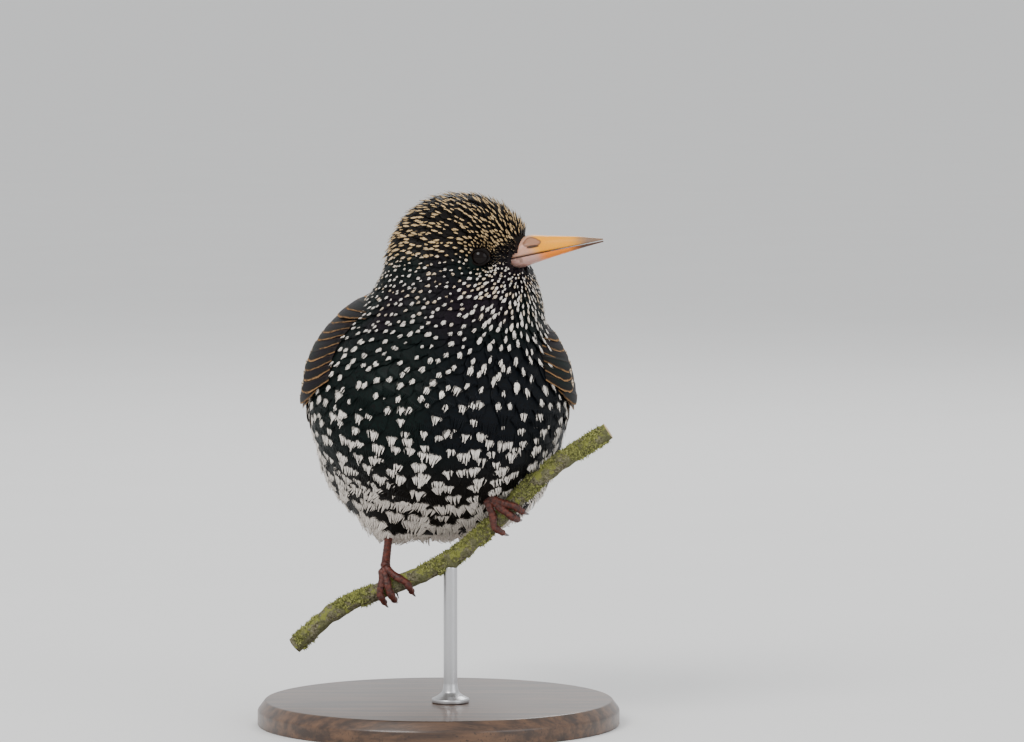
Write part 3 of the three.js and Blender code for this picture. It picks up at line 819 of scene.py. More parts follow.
def body_kinds(roots):
    """Each feather's size, shape, mark and colour, by where it grows."""
    count = len(roots)
    x, y, z = roots.T
    gap = spacing_at(roots)
    far = np.linalg.norm(roots - MUZZLE, axis=-1)
    crown = smooth(z, 149, 156)
    reach, _, up = bill_place(roots)
    throat = smooth(-y, 8, 18) * smooth(z, 112, 124) * (1 - smooth(z, 143, 150)) * smooth(x, 8, 16)
    lance = np.interp(z, [80, 105, 122, 140], [0.15, 0.35, 0.6, 0.8])
    near_eye = np.minimum(*(np.linalg.norm(roots - centre, axis=-1) for centre, _ in EYES))
    length = gap * np.interp(z, [100, 125, 145, 160], [2.7, 3.0, 3.0, 3.2])
    length = length * np.interp(near_eye, [3, 4.5, 8], [0.22, 0.42, 1.0])
    half = gap * np.interp(z, [100, 125, 145], [0.92, 0.84, 0.74])
    size = rng.normal(1, 0.08, count)
    mark = np.interp(
        z,
        [56, 64, 74, 84, 96, 108, 116, 124, 132, 140, 146, 160],
        [5.8, 4.3, 2.8, 2.2, 1.8, 1.6, 1.5, 1.22, 0.98, 0.80, 0.66, 0.52],
    )
    mark = mark * np.clip(rng.normal(1, 0.16, count), 0.55, 1.5)
    mark = mark * np.where((z < 118) & (rng.random(count) < 0.05), 0.3, 1)
    mark = mark * np.interp(far, [10, 24], [0.75, 1.0]) * np.interp(near_eye, [3, 7], [0.65, 1.0])
    mark = mark * mix(1.0, 1.22, crown * (1 - smooth(far, 10, 22)))
    mark_long = mark * mix(1.0, 2.1, crown) * mix(1.0, 1.6, throat)
    mark = mark * mix(1.0, 0.84, crown) * mix(1.0, 0.8, throat)
    ring = smooth(-near_eye, -6.5, -4.5)
    lores = (reach > -9) & (reach < 6) & (up > -0.8) & (up < 3.6 + 0.15 * reach)
    mark = np.where(lores, 0.03, mark)
    white = np.array([0.86, 0.80, 0.73])
    grey = np.array([0.66, 0.60, 0.54])
    buff = np.array([0.62, 0.43, 0.21])
    warm = np.clip(smooth(z, 146, 155) + 0.6 * (rng.random(count) < 0.3) * smooth(z, 128, 142), 0, 1)
    warm = np.maximum(warm, np.maximum(0.75 * smooth(y, 2, 20), 0.7 * ring))
    colour = mix(white, buff, warm[:, None])
    colour = mix(colour, grey, smooth(-z, -92, -72)[:, None])
    colour = colour * rng.normal(1, 0.06, (count, 1))
    stand = crown * rng.uniform(0.2, 1.7, count) + throat * rng.uniform(0.0, 0.7, count)
    uneven = rng.normal(0, 0.09, count) * np.minimum(1, gap / 3)
    return {
        "length": length * size,
        "half": half * size,
        "lance": lance,
        "lift": (-0.30 * gap - 0.35, 0.03 * gap + 0.05 + stand + uneven),
        "convex": 0.03 * gap,
        "shift": 0.25 * lance,
        "turn": rng.normal(0, 7, count),
        "loose": np.interp(z, [56, 66, 80, 105, 125], [0.95, 0.6, 0.32, 0.18, 0.12]) * gap / 4,
        "mark": (mark, mark_long),
        "colour": np.clip(colour, 0, 1),
        "draw": rng.random(count),
    }


def clear_of_eyes(roots, kinds):
    """Shortens feathers that would lie over an eye."""
    normals = body.normal(roots)
    lie = feather_lie(roots, normals)
    for centre, out in EYES:
        for share in (0.35, 0.6, 0.8, 1.0):
            spot = roots + lie * (kinds["length"] * share)[:, None]
            off = spot - centre
            height = off @ out
            radius = np.linalg.norm(off - height[:, None] * out, axis=-1)
            over = (radius < 2.7) & (height > -4)
            kinds["length"] = np.where(over, kinds["length"] * max(share - 0.25, 0.25), kinds["length"])
    return kinds


def pick_kinds(kinds, chosen):
    return {
        key: tuple(v[chosen] for v in value) if isinstance(value, tuple) else value[chosen]
        for key, value in kinds.items()
    }


def make_body_coat(points, faces):
    material = plumage_material()
    roots = scatter_roots(points, faces)
    kinds = clear_of_eyes(roots, body_kinds(roots))
    x, y, z = roots.T
    head, neck = z > HEAD_FROM, (z <= HEAD_FROM) & (z > NECK_FROM)
    trunk_part = z <= NECK_FROM
    breast, belly = trunk_part & (z > BREAST_FROM) & (y < BACK_FROM), (z <= BREAST_FROM) & (y < BACK_FROM)
    head_left, neck_left = x > np.median(x[head]), x > np.median(x[neck])
    zones = {
        "coat_head_left": head & head_left,
        "coat_head_right": head & ~head_left,
        "coat_neck_left": neck & neck_left,
        "coat_neck_right": neck & ~neck_left,
        "coat_breast_left": breast & (x > 0),
        "coat_breast_right": breast & (x <= 0),
        "coat_belly_left": belly & (x > 0),
        "coat_belly_right": belly & (x <= 0),
        "coat_back": trunk_part & (y >= BACK_FROM),
    }
    for name, chosen in zones.items():
        pattern = HACKLE if name.startswith("coat_head") else BROAD
        show(make_coat(name, pattern, roots[chosen], pick_kinds(kinds, chosen), material))


# Eyes and lids

def eye_material():
    tree = Tree("eye")
    speck = tree.noise(tree.place(), 1.4, 3.0)
    colour = tree.mix(speck, (0.002, 0.0015, 0.0015), (0.006, 0.003, 0.002))
    return tree.finish(Base_Color=colour, Roughness=0.05, Specular_IOR_Level=0.14)


def lid_material():
    tree = Tree("lid")
    grain = tree.noise(tree.place(), 5.0, 3.0)
    tree.bump(grain, 0.5, 0.0001)
    colour = tree.mix(grain, (0.003, 0.002, 0.002), (0.009, 0.007, 0.006))
    return tree.finish(Base_Color=colour, Roughness=0.6, Specular_IOR_Level=0.06)


def make_eyes():
    ball, lid = eye_material(), lid_material()
    for side, name in ((-1, "eye_right"), (1, "eye_left")):
        centre, out = EYES[0 if side < 0 else 1]
        rings = centre + sphere_directions(40, 56) * EYE_RADIUS
        verts, faces = tube_mesh(rings)
        eye = weld(new_object(name + "_ball", verts, faces, material=ball))
        show(eye, name)
        # Two lids meet at pointed corners and wrap the ball.
        forward = unit(np.cross(np.cross(out, head_point(1, 0, 0) - head_point(0, 0, 0)), out))
        up = np.cross(forward, out)
        up = up if up[2] > 0 else -up
        turn = np.linspace(0, 2 * math.pi, 64, endpoint=False)
        open_x = 2.42 + 0.28 * np.cos(turn) ** 4
        open_z = 2.20
        middle = forward * (np.cos(turn) * open_x)[:, None] + up * (np.sin(turn) * open_z)[:, None]
        height = np.sqrt(np.clip((EYE_RADIUS + 0.12) ** 2 - (middle ** 2).sum(1), 0, None))
        path = centre + middle + out * height[:, None]
        radial = unit(middle)
        sides = 10
        angle = np.arange(sides) * 2 * math.pi / sides
        thick = 0.24 + 0.03 * np.sin(5 * turn)
        rings = (
            path[:, None, :]
            + radial[:, None, :] * (np.cos(angle)[None, :, None] * thick[:, None, None] * 1.25 + 0.2)
            + out * (np.sin(angle)[None, :, None] * thick[:, None, None] * 0.8)
        )
        faces = grid_faces(len(turn), sides, closed_rows=True, closed_columns=True)
        verts = rings.reshape(-1, 3)
        show(new_object(name + "_lids", verts, outward(verts, faces), material=lid))


# Bill

HORN = {
    "upper": {"base": (0.58, 0.31, 0.22), "middle": (0.90, 0.35, 0.0), "tip": (0.20, 0.13, 0.09),
              "base_ends": (7.0, 11.5), "tip_starts": (19.5, 27.0)},
    "lower": {"base": (0.50, 0.29, 0.25), "middle": (0.80, 0.20, 0.0), "tip": (0.07, 0.03, 0.02),
              "base_ends": (8.5, 13.5), "tip_starts": (19.0, 24.5)},
}


def oval(x, y, middle, radii):
    """Grows outwards from 0 at the middle of an oval, past 1 at its edge."""
    return ((x - middle[0]) / radii[0]) ** 2.0 + ((y - middle[1]) / radii[1]) ** 2.0


def horn_material(name, half):
    tree = Tree(name)
    horn = HORN[half]
    along, around, _ = tree.xyz(tree.uv("Along"))
    place = tree.place()
    fine = tree.noise(tree.vector(along * 0.5, around * 9.0), 3.0, 3.0)
    along = along + (tree.noise(place, 0.35, 3.0) - 0.5) * 4.0
    colour = tree.mix(along.ramp(*horn["base_ends"]), horn["base"], horn["middle"])
    colour = tree.mix(along.ramp(*horn["tip_starts"]), colour, horn["tip"])
    if half == "upper":
        # A painted highlight, pale along the top of the ridge.
        colour = tree.mix(around.ramp(0.90, 0.99) * 0.35, colour, (0.75, 0.60, 0.42))
        # The nostril's flap, ringed with painted shade at its edge where it rises from the bill.
        flap = oval(along, around, (9.0, 0.62), (2.7, 0.27))
        colour = tree.mix(flap.ramp(1.25, 0.9, 0.0, 0.9), colour, (0.16, 0.07, 0.04))
        colour = tree.mix(flap.ramp(0.85, 0.35, 0.0, 0.85), colour, (0.38, 0.19, 0.12))
        # Painted shade in the nostril's slit.
        slit = oval(along, around, (9.0, 0.38), (2.0, 0.08))
        colour = tree.mix(slit.ramp(1.3, 0.6, 0.0, 0.9), colour, (0.030, 0.016, 0.012))
    else:
        spot = tree.noise(place, 0.55, 2.0).ramp(0.52, 0.66)
        colour = tree.mix(along.ramp(8.0, 4.0) * spot * 0.7, colour, (0.17, 0.09, 0.07))
    colour = tree.mix(fine.ramp(0.35, 0.75, 0.0, 0.22), colour, (0.30, 0.17, 0.07))
    # Painted shade along the gape, where the two halves meet.
    colour = tree.mix(around.ramp(0.10, 0.0) * 0.7, colour, (0.10, 0.05, 0.03))
    tree.bump(fine, 0.12, 0.00012)
    return tree.finish(
        Base_Color=colour,
        Roughness=0.33,
        Subsurface_Weight=0.12,
        Subsurface_Scale=0.001,
        Specular_IOR_Level=0.25,
    )


def smooth_rows(rows, count):
    """Rows of sizes read at even places along the first column, without corners."""
    at = rows[:, 0]
    places = np.linspace(at[0], at[-1], count)
    slope = np.gradient(rows, at, axis=0)
    index = np.clip(np.searchsorted(at, places, side="right") - 1, 0, len(at) - 2)
    width = at[index + 1] - at[index]
    t = ((places - at[index]) / width)[:, None]
    width = width[:, None]
    out = (
        (2 * t ** 3 - 3 * t ** 2 + 1) * rows[index]
        + (t ** 3 - 2 * t ** 2 + t) * width * slope[index]
        + (-2 * t ** 3 + 3 * t ** 2) * rows[index + 1]
        + (t ** 3 - t ** 2) * width * slope[index + 1]
    )
    out[:, 0] = places
    return out


def make_bill():
    rows = smooth_rows(BILL_STATIONS, 60)
    arc = np.linspace(0, math.pi, 25)
    for upper, name in ((True, "bill_upper"), (False, "bill_lower")):
        side = 1 if upper else -1
        depth = rows[:, 1 if upper else 2]
        half = rows[:, 3] * (1 if upper else 0.93)
        power = 0.8 if upper else 0.9
        across = np.cos(arc)
        rise = np.sin(arc) ** power
        flat_x = np.linspace(-1, 1, 9)[1:-1]
        x = np.concatenate([across, flat_x])
        z = np.concatenate([rise, -0.04 * (1 - flat_x ** 2)])
        aside = half[:, None] * x[None]
        if upper:
            flap = np.exp(-(((rows[:, 0] - 8.4) / 2.4) ** 2))[:, None]
            side_on = np.exp(-(((z - 0.50) / 0.24) ** 2)) * (np.abs(x) > 0.3)
            aside = aside + np.sign(x) * flap * side_on * 0.75
            slit = np.exp(-(((rows[:, 0] - 9.4) / 1.5) ** 2))[:, None] * np.exp(-(((z - 0.36) / 0.10) ** 2))
            aside = aside - np.sign(x) * slit * 0.85 * (np.abs(x) > 0.3)
        gape = CAD_GAP / 2 * np.ones_like(depth)
        up = side * (gape[:, None] + depth[:, None] * z[None])
        rings = bill_point(rows[:, :1] + 0 * aside, aside, up)
        verts, faces = tube_mesh(rings)
        sides = rings.shape[1]
        around = np.tile(np.clip(z, 0, 1), len(rows) + 2)
        along = np.repeat(np.concatenate([rows[:1, 0], rows[:, 0], rows[-1:, 0]]), sides)
        uv = np.stack([along, around], -1)[faces.ravel()]
        material = horn_material(name, "upper" if upper else "lower")
        show(weld(new_object(name + "_horn", verts, faces, {"Along": uv}, material)), name)


# Perch: the same curve as the solid's, with bark, moss and cut ends

def catmull_rom(points, count):
    """Evenly spaced places on a centripetal curve through the points."""
    padded = np.concatenate([[2 * points[0] - points[1]], points, [2 * points[-1] - points[-2]]])
    dense = []
    for i in range(len(points) - 1):
        p0, p1, p2, p3 = padded[i:i + 4]
        d0, d1, d2 = (math.dist(a, b) ** 0.5 for a, b in ((p0, p1), (p1, p2), (p2, p3)))
        t1 = (p1 - p0) / d0 - (p2 - p0) / (d0 + d1) + (p2 - p1) / d1
        t2 = (p2 - p1) / d1 - (p3 - p1) / (d1 + d2) + (p3 - p2) / d2
        t1, t2 = t1 * d1, t2 * d1
        t = np.linspace(0, 1, 60, endpoint=i == len(points) - 2)[:, None]
        dense.append(
            p1 + t1 * t + (-3 * p1 + 3 * p2 - 2 * t1 - t2) * t ** 2 + (2 * p1 - 2 * p2 + t1 + t2) * t ** 3
        )
    dense = np.concatenate(dense)
    gone = np.concatenate([[0], np.cumsum(np.linalg.norm(np.diff(dense, axis=0), axis=1))])
    at = np.linspace(0, gone[-1], count)
    return np.stack([np.interp(at, gone, dense[:, k]) for k in range(3)], -1)


PERCH = catmull_rom(PERCH_POINTS, 601)


def lumps(points, scale, seed, octaves=4):
    """Soft noise made of a few turned sine waves, the same on every run."""
    draw = np.random.default_rng(seed)
    total = np.zeros(points.shape[:-1])
    for octave in range(octaves):
        for _ in range(5):
            way = unit(draw.normal(0, 1, 3)) * scale * 1.9 ** octave
            total += np.sin(points @ way + draw.random() * 6.3) / 1.7 ** octave
    return total / 5


def bark_material():
    tree = Tree("bark")
    place = tree.place()
    fine = tree.noise(place, 1.6, 5.0, 0.7)
    _, _, up = tree.xyz(tree.give("Normal", "ShaderNodeNewGeometry"))
    colour = tree.mix(fine.ramp(0.35, 0.68), (0.060, 0.050, 0.028), (0.27, 0.25, 0.16))
    olive = tree.noise(place, 0.22, 4.0, 0.6).ramp(0.42, 0.60, 0.0, 0.75)
    colour = tree.mix(olive, colour, (0.120, 0.125, 0.052))
    moss = (tree.noise(place, 0.35, 3.0, 0.65) + up * 0.08).ramp(0.50, 0.60)
    colour = tree.mix(moss * 0.85, colour, (0.24, 0.255, 0.055))
    # Painted shade in the bark's deepest hollows, where the bump sinks lowest.
    colour = tree.mix(fine.ramp(0.42, 0.30) * 0.8, colour, (0.030, 0.024, 0.014))
    tree.bump(fine, 1.0, 0.0009)
    return tree.finish(Base_Color=colour, Roughness=0.92, Specular_IOR_Level=0.2)


def moss_material():
    tree = Tree("moss")
    shade = tree.noise(tree.place(), 1.3, 3.0).ramp(0.3, 0.7)
    colour = tree.mix(shade, (0.070, 0.075, 0.024), (0.36, 0.37, 0.12))
    return tree.finish(Base_Color=colour, Roughness=0.95, Specular_IOR_Level=0.2)


def cut_material():
    tree = Tree("cut_wood")
    inputs = {"Vector": tree.place(), "Scale": 1.2, "Distortion": 1.5}
    ring = tree.give("Fac", "ShaderNodeTexWave", inputs, wave_type="RINGS")
    return tree.finish(Base_Color=tree.mix(ring, (0.42, 0.30, 0.17), (0.60, 0.46, 0.29)), Roughness=0.8)


# Places of the knots, as shares of the perch's length
KNOTS = (0.13, 0.47, 0.86)


def make_perch():
    side, lift = ring_frames(PERCH)
    sides = 64
    angle = np.arange(sides) * 2 * math.pi / sides
    ways = side[:, None] * np.cos(angle)[None, :, None] + lift[:, None] * np.sin(angle)[None, :, None]
    rough = lumps(PERCH[:, None] + ways * PERCH_RADIUS, 0.9, 3)
    plates = np.abs(lumps(PERCH[:, None] + ways * PERCH_RADIUS, 0.5, 5, 3))
    share = np.linspace(0, 1, len(PERCH))
    near_foot = np.zeros(len(PERCH))
    for foot in FEET.values():
        near_foot = np.maximum(near_foot, np.exp(-(((share - foot["share"]) / 0.045) ** 2)))
    calm = 1 - 0.8 * near_foot[:, None]
    radius = PERCH_RADIUS * 0.97 + (0.27 * rough - 0.22 * plates) * calm
    for knot in KNOTS:
        swell = 0.7 * np.exp(-(((share[:, None] - knot) / 0.012) ** 2))
        radius += swell * (0.55 + 0.45 * np.cos(angle - 9 * knot))
    rings = PERCH[:, None] + ways * radius[..., None]
    verts, faces = tube_mesh(rings)
    perch = weld(new_object("perch_bark", verts, faces, material=bark_material()))
    perch.data.materials.append(cut_material())
    ends = np.zeros(len(perch.data.polygons), np.int32)
    run = unit(np.gradient(PERCH, axis=0))
    for i, polygon in enumerate(perch.data.polygons):
        spot = np.array(polygon.center) / MM
        for end in (0, -1):
            if abs((spot - PERCH[end]) @ run[end]) < 0.05 and np.linalg.norm(spot - PERCH[end]) < 2.4:
                ends[i] = 1
    perch.data.polygons.foreach_set("material_index", ends)
    show(perch, "perch")
    make_moss(side, lift, near_foot)


def make_moss(side, lift, near_foot):
    """Moss and lichen: small leafy tufts in patches, few under the feet."""
    blades = 7000
    at = rng.integers(8, len(PERCH) - 8, blades * 3)
    turn = rng.random(blades * 3) * 2 * math.pi
    way = side[at] * np.cos(turn)[:, None] + lift[at] * np.sin(turn)[:, None]
    grow = lumps(PERCH[at] + way * 3, 0.35, 9, 3) + 0.35 * way[:, 2] - near_foot[at] * 1.6 > 0.02
    at, way = at[grow][:blades], way[grow][:blades]
    count = len(at)
    root = PERCH[at] + way * PERCH_RADIUS * 0.95
    tip = root + (way + rng.normal(0, 0.5, (count, 3))) * rng.uniform(0.25, 0.75, (count, 1))
    a = unit(np.cross(way, rng.normal(0, 1, (count, 3))))
    b = np.cross(way, a)
    wide = rng.uniform(0.15, 0.36, (count, 1))
    back = root - a * wide * 0.5
    verts = np.stack([root + a * wide, back + b * wide, back - b * wide, tip], 1)
    pattern = np.array([[0, 2, 1], [0, 1, 3], [1, 2, 3], [2, 0, 3]])
    faces = (pattern + np.arange(count)[:, None, None] * 4).reshape(-1, 3)
    verts = verts.reshape(-1, 3)
    show(new_object("perch_moss", verts, faces, None, moss_material(), smooth_shade=False))


# Legs, feet and claws, by the same sizes as the solids

FEET = {
    "right": {"side": -1, "share": 0.303, "joint": 7.2, "heel": (-15.5, 2, 64)},
    "left": {"side": 1, "share": 0.664, "joint": 8.4, "heel": (14.5, 0, 69)},
}
TOES = {
    "middle": {"spread": 0.9, "from": 16, "to": 168, "radius": 1.35},
    "inner": {"spread": -5.4, "from": 20, "to": 156, "radius": 1.25},
    "outer": {"spread": 4.1, "from": 22, "to": 156, "radius": 1.25},
    "hind": {"spread": 0.4, "from": -24, "to": -104, "radius": 1.4},
}
CLAW_ARC = 34
TARSUS_RADIUS = 1.4


def foot_frame(foot):
    at = foot["share"] * (len(PERCH) - 1)
    i = int(round(at))
    centre = PERCH[i]
    run = unit(PERCH[i + 2] - PERCH[i - 2])
    front = np.array([0, -1, 0.0])
    front = unit(front - run * front.dot(run))
    up = unit(np.cross(front, run))
    return centre, run, front, up if up[2] > 0 else -up


def toe_point(foot, angle, radius, aside):
    centre, run, front, up = foot_frame(foot)
    turn = np.radians(angle)[..., None]
    way = up * np.cos(turn) + front * np.sin(turn)
    return centre + way * np.asarray(radius)[..., None] + run * np.asarray(aside)[..., None]


def leg_material():
    tree = Tree("leg")
    along, _, _ = tree.xyz(tree.uv("Along"))
    place = tree.place()
    mottle = tree.noise(place, 0.9, 3.0, 0.6)
    grain = tree.noise(place, 5.0, 3.0, 0.6)
    scute = ((along + tree.noise(place, 0.5, 2.0) * 1.6) * 0.72).math("FRACT")
    groove = scute.ramp(0.16, 0.0).most(scute.ramp(0.9, 1.0))
    colour = tree.mix(mottle.ramp(0.3, 0.7), (0.028, 0.008, 0.006), (0.108, 0.024, 0.014))
    # Painted shade in the grooves between scutes, which the bump sinks too.
    colour = tree.mix(groove * 0.55, colour, (0.024, 0.008, 0.007))
    colour = tree.mix(grain.ramp(0.55, 0.8, 0.0, 0.3), colour, (0.19, 0.06, 0.038))
    tree.bump(grain * 0.25 - groove, 0.5, 0.00025)
    return tree.finish(Base_Color=colour, Roughness=0.45, Specular_IOR_Level=0.35)


def claw_material():
    tree = Tree("claw")
    along, _, _ = tree.xyz(tree.uv("Along"))
    colour = tree.mix(along.ramp(0.0, 2.2), (0.13, 0.055, 0.04), (0.020, 0.015, 0.013))
    tree.bump(tree.noise(tree.place(), 2.0, 3.0), 0.15, 0.0001)
    return tree.finish(Base_Color=colour, Roughness=0.3, Coat_Weight=0.3)


def scaled_tube(name, path, radii, material, scutes, sides, squash=0.0):
    """A tube whose front is stepped in overlapping scutes, each this long."""
    gone = np.concatenate([[0], np.cumsum(np.linalg.norm(np.diff(path, axis=0), axis=1))])
    count = max(int(gone[-1] / 0.16), 16)
    at = np.linspace(0, gone[-1], count)
    dense = np.stack([np.interp(at, gone, path[:, k]) for k in range(3)], -1)
    for _ in range(6):
        dense[1:-1] = (dense[:-2] + 2 * dense[1:-1] + dense[2:]) / 4
    wide = np.interp(at, gone, radii)
    side, lift = ring_frames(dense, (0.9, 0.1, 0.4))
    angle = np.arange(sides) * 2 * math.pi / sides
    step = np.mod(at / scutes, 1.0)
    ridge = 0.075 * (1 - step) ** 2 - 0.045 * (step > 0.93)
    radius = wide[:, None] + (ridge * min(1, scutes))[:, None] * (0.4 + 0.6 * np.abs(np.cos(angle)))
    ends = np.clip(np.minimum(at, gone[-1] - at) / (wide * 0.9), 0, 1)
    radius = radius * np.sqrt(np.clip(1 - (1 - ends[:, None]) ** 2, 0.02, 1))
    rings = (
        dense[:, None]
        + side[:, None] * (np.cos(angle) * (1 - squash))[None, :, None] * radius[..., None]
        + lift[:, None] * np.sin(angle)[None, :, None] * radius[..., None]
    )
    verts, faces = tube_mesh(rings)
    along = np.repeat(np.concatenate([at[:1], at, at[-1:]]), sides)
    around = np.tile(angle / (2 * math.pi), count + 2)
    uv = np.stack([along, around], -1)[faces.ravel()]
    return weld(new_object(name, verts, faces, {"Along": uv}, material))


def join_meshes(name, parts):
    """One object from several that share a material."""
    for part in parts:
        part.select_set(True)
    bpy.context.view_layer.objects.active = parts[0]
    bpy.ops.object.join()
    parts[0].name = name
    parts[0].data.name = name
    parts[0].select_set(False)
    return parts[0]


def make_feet():
    leg, claw = leg_material(), claw_material()
    bpy.ops.object.select_all(action="DESELECT")
    for side_name, foot in FEET.items():
        toes = []
        for toe_name, toe in TOES.items():
            wrap = PERCH_RADIUS * 1.1 + CAD_GAP + toe["radius"]
            share = np.linspace(0, 1, 40)
            angle = mix(toe["from"], toe["to"], share)
            rise = (foot["joint"] - wrap) * np.clip(1 - share * 3.2, 0, None) ** 1.5
            aside = toe["spread"] * foot["side"] * mix(0.12, 1, np.clip(share * 1.8, 0, 1))
            path = toe_point(foot, angle, wrap + rise - 0.15, aside)
            pads = 1 + 0.10 * np.cos(share * 6 * math.pi)
            widths = toe["radius"] * pads * mix(1, 0.8, share)
            toes.append(scaled_tube(f"toe_{toe_name}", path, widths, leg, 1.25, 24))
            way = np.sign(toe["to"] - toe["from"])
            share = np.linspace(0, 1, 24)
            start = toe["to"] - way * math.degrees(0.7 / wrap)
            radius = wrap + 1.6 * np.sin(share * math.pi * 0.5) * share
            angle = start + way * (CLAW_ARC + 12) * share
            path = toe_point(foot, angle, radius, toe["spread"] * foot["side"] + 0 * share)
            widths = mix(toe["radius"] * 0.66, 0.08, share ** 1.15)
            name = f"claw_{toe_name}_{side_name}"
            show(scaled_tube(name + "_horn", path, widths, claw, 40, 18, 0.25), name)
        show(join_meshes(f"foot_{side_name}_toes", toes), f"foot_{side_name}")

        heel = np.array(foot["heel"], float)
        joint = toe_point(foot, np.array(6.0), np.array(foot["joint"] - 1.2), np.array(0.0))
        share = np.linspace(-0.1, 1, 30)
        path = mix(heel, joint, share[:, None])
        widths = TARSUS_RADIUS * np.interp(share, [-0.1, 0.15, 0.5, 0.85, 1], [1.1, 0.95, 0.9, 1.0, 1.3])
        name = f"tarsus_{side_name}"
        show(scaled_tube(name + "_shank", path, widths, leg, 1.4, 32), name)


# Display stand

def wood_material():
    tree = Tree("dark_wood")
    x, y, z = tree.xyz(tree.place())
    wave = tree.noise(tree.vector(x * 0.07, y, z), 0.28, 5.0, 0.65)
    pore = tree.noise(tree.vector(x * 0.25, y * 5.0, z), 1.0, 3.0, 0.7)
    colour = tree.mix(wave.ramp(0.35, 0.68), (0.030, 0.014, 0.007), (0.115, 0.056, 0.026))
    colour = tree.mix(pore.ramp(0.42, 0.32), colour, (0.012, 0.006, 0.004))
    tree.bump(pore, 0.2, 0.0001)
    return tree.finish(Base_Color=colour, Roughness=0.38, Coat_Weight=0.3, Coat_Roughness=0.15)


def steel_material():
    tree = Tree("brushed_steel")
    x, y, z = tree.xyz(tree.place())
    brush = tree.noise(tree.vector(x, y, z * 14.0), 1.2, 3.0, 0.6)
    tree.bump(brush, 0.08, 0.0001)
    return tree.finish(
        Base_Color=tree.mix(brush, (0.42, 0.42, 0.43), (0.62, 0.62, 0.63)),
        Metallic=1.0,
        Roughness=brush.ramp(0.2, 0.8, 0.26, 0.42),
    )


def lathe(name, profile, sides, at, material):
    profile = np.array(profile, float)
    angle = np.arange(sides) * 2 * math.pi / sides
    rings = np.stack([
        at[0] + profile[:, :1] * np.cos(angle),
        at[1] + profile[:, :1] * np.sin(angle),
        profile[:, 1:] + 0 * angle,
    ], -1)
    verts, faces = tube_mesh(rings)
    made = weld(new_object(name, verts, faces, material=material))
    made.data.set_sharp_from_angle(angle=math.radians(30))
    return made


def rounded(profile, radius):
    """The same outline with its corners turned into short arcs."""
    out = [profile[0]]
    for before, corner, after in zip(profile, profile[1:], profile[2:]):
        before, corner, after = (np.array(p, float) for p in (before, corner, after))
        start = corner + unit(before - corner) * min(radius, np.linalg.norm(before - corner) / 2)
        end = corner + unit(after - corner) * min(radius, np.linalg.norm(after - corner) / 2)
        for t in np.linspace(0, 1, 5):
            out.append(tuple((1 - t) ** 2 * start + 2 * t * (1 - t) * corner + t ** 2 * end))
    out.append(profile[-1])
    return out


def make_stand():
    low, high = (np.array(corner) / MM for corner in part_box("stand_base"))
    radius, top = high[0], high[2]
    outline = [
        (0.01, 0), (radius, 0), (radius, top - 3.2),
        (radius - 1.2, top - 1.6), (radius - 2.4, top), (0.01, top),
    ]
    base = lathe("stand_base_wood", rounded(outline, 0.5), 160, (0, 0), wood_material())
    show(base, "stand_base")
    low, high = (np.array(corner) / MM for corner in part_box("stand_rod"))
    middle = (low + high) / 2
    collar, thin = (high[0] - low[0]) / 2, 2.2
    foot = low[2] - 0.25
    outline = [
        (0.01, foot), (collar, foot), (collar, foot + 1.3), (collar - 1.8, foot + 2.2),
        (thin + 0.5, foot + 3.4), (thin, foot + 6),
        (thin, high[2] - 1.2), (thin * 0.8, high[2]), (0.01, high[2]),
    ]
    rod = lathe("stand_rod_steel", rounded(outline, 0.35), 64, middle[:2], steel_material())
    show(rod, "stand_rod")


# Wings and tail: rows of closed vanes on the folded wings' surface, over a dark bed

TILT = {"flight": 0.2, "covert": 0.1}
# Roots and tips are the first and last feather's place: mm along the wing, degrees from the back.
WING_TIERS = [
    {"kind": "flight", "count": 9, "roots": ((34, 80), (16, 100)), "tips": ((84, 70), (120, 79)),
     "half": 3.6, "lifts": (-0.6, 0.2), "step": -0.25},
    {"kind": "flight", "count": 7, "roots": ((24, 60), (24, 92)), "tips": ((70, 58), (77, 77)),
     "half": 4.4, "lifts": (-0.3, 0.9)},
    {"kind": "flight", "count": 3, "roots": ((20, 40), (22, 54)), "tips": ((50, 36), (68, 50)),
     "half": 5.2, "lifts": (0, 1.9)},
    {"kind": "covert", "count": 5, "roots": ((12, 96), (10, 104)), "tips": ((52, 89), (38, 98)),
     "half": 2.5, "lifts": (-0.3, 1.2)},
    {"kind": "covert", "count": 9, "roots": ((10, 50), (8, 97)), "tips": ((40, 50), (33, 94)),
     "half": 3.9, "lifts": (-0.2, 1.7)},
    {"kind": "covert", "count": 9, "roots": ((1, 50), (1, 95)), "tips": ((26, 52), (21, 93)),
     "half": 3.9, "lifts": (-0.2, 2.1)},
    {"kind": "covert", "count": 8, "roots": ((-3, 52), (-3, 94)), "tips": ((15, 55), (12, 93)),
     "half": 4.0, "lifts": (-0.2, 2.4)},
    {"kind": "covert", "count": 8, "roots": ((-9, 54), (-9, 92)), "tips": ((7, 56), (4, 91)),
     "half": 4.0, "lifts": (-0.2, 2.6)},
    {"kind": "covert", "count": 4, "roots": ((18, 27), (20, 46)), "tips": ((46, 23), (40, 41)),
     "half": 4.6, "lifts": (0, 2.3)},
    {"kind": "covert", "count": 4, "roots": ((7, 27), (9, 47)), "tips": ((33, 25), (28, 45)),
     "half": 4.6, "lifts": (0, 2.6)},
    {"kind": "covert", "count": 4, "roots": ((-4, 29), (-2, 49)), "tips": ((20, 27), (16, 46)),
     "half": 4.6, "lifts": (0, 2.8)},
    {"kind": "covert", "count": 4, "roots": ((-13, 32), (-12, 50)), "tips": ((9, 30), (6, 49)),
     "half": 4.6, "lifts": (0, 2.9)},
]
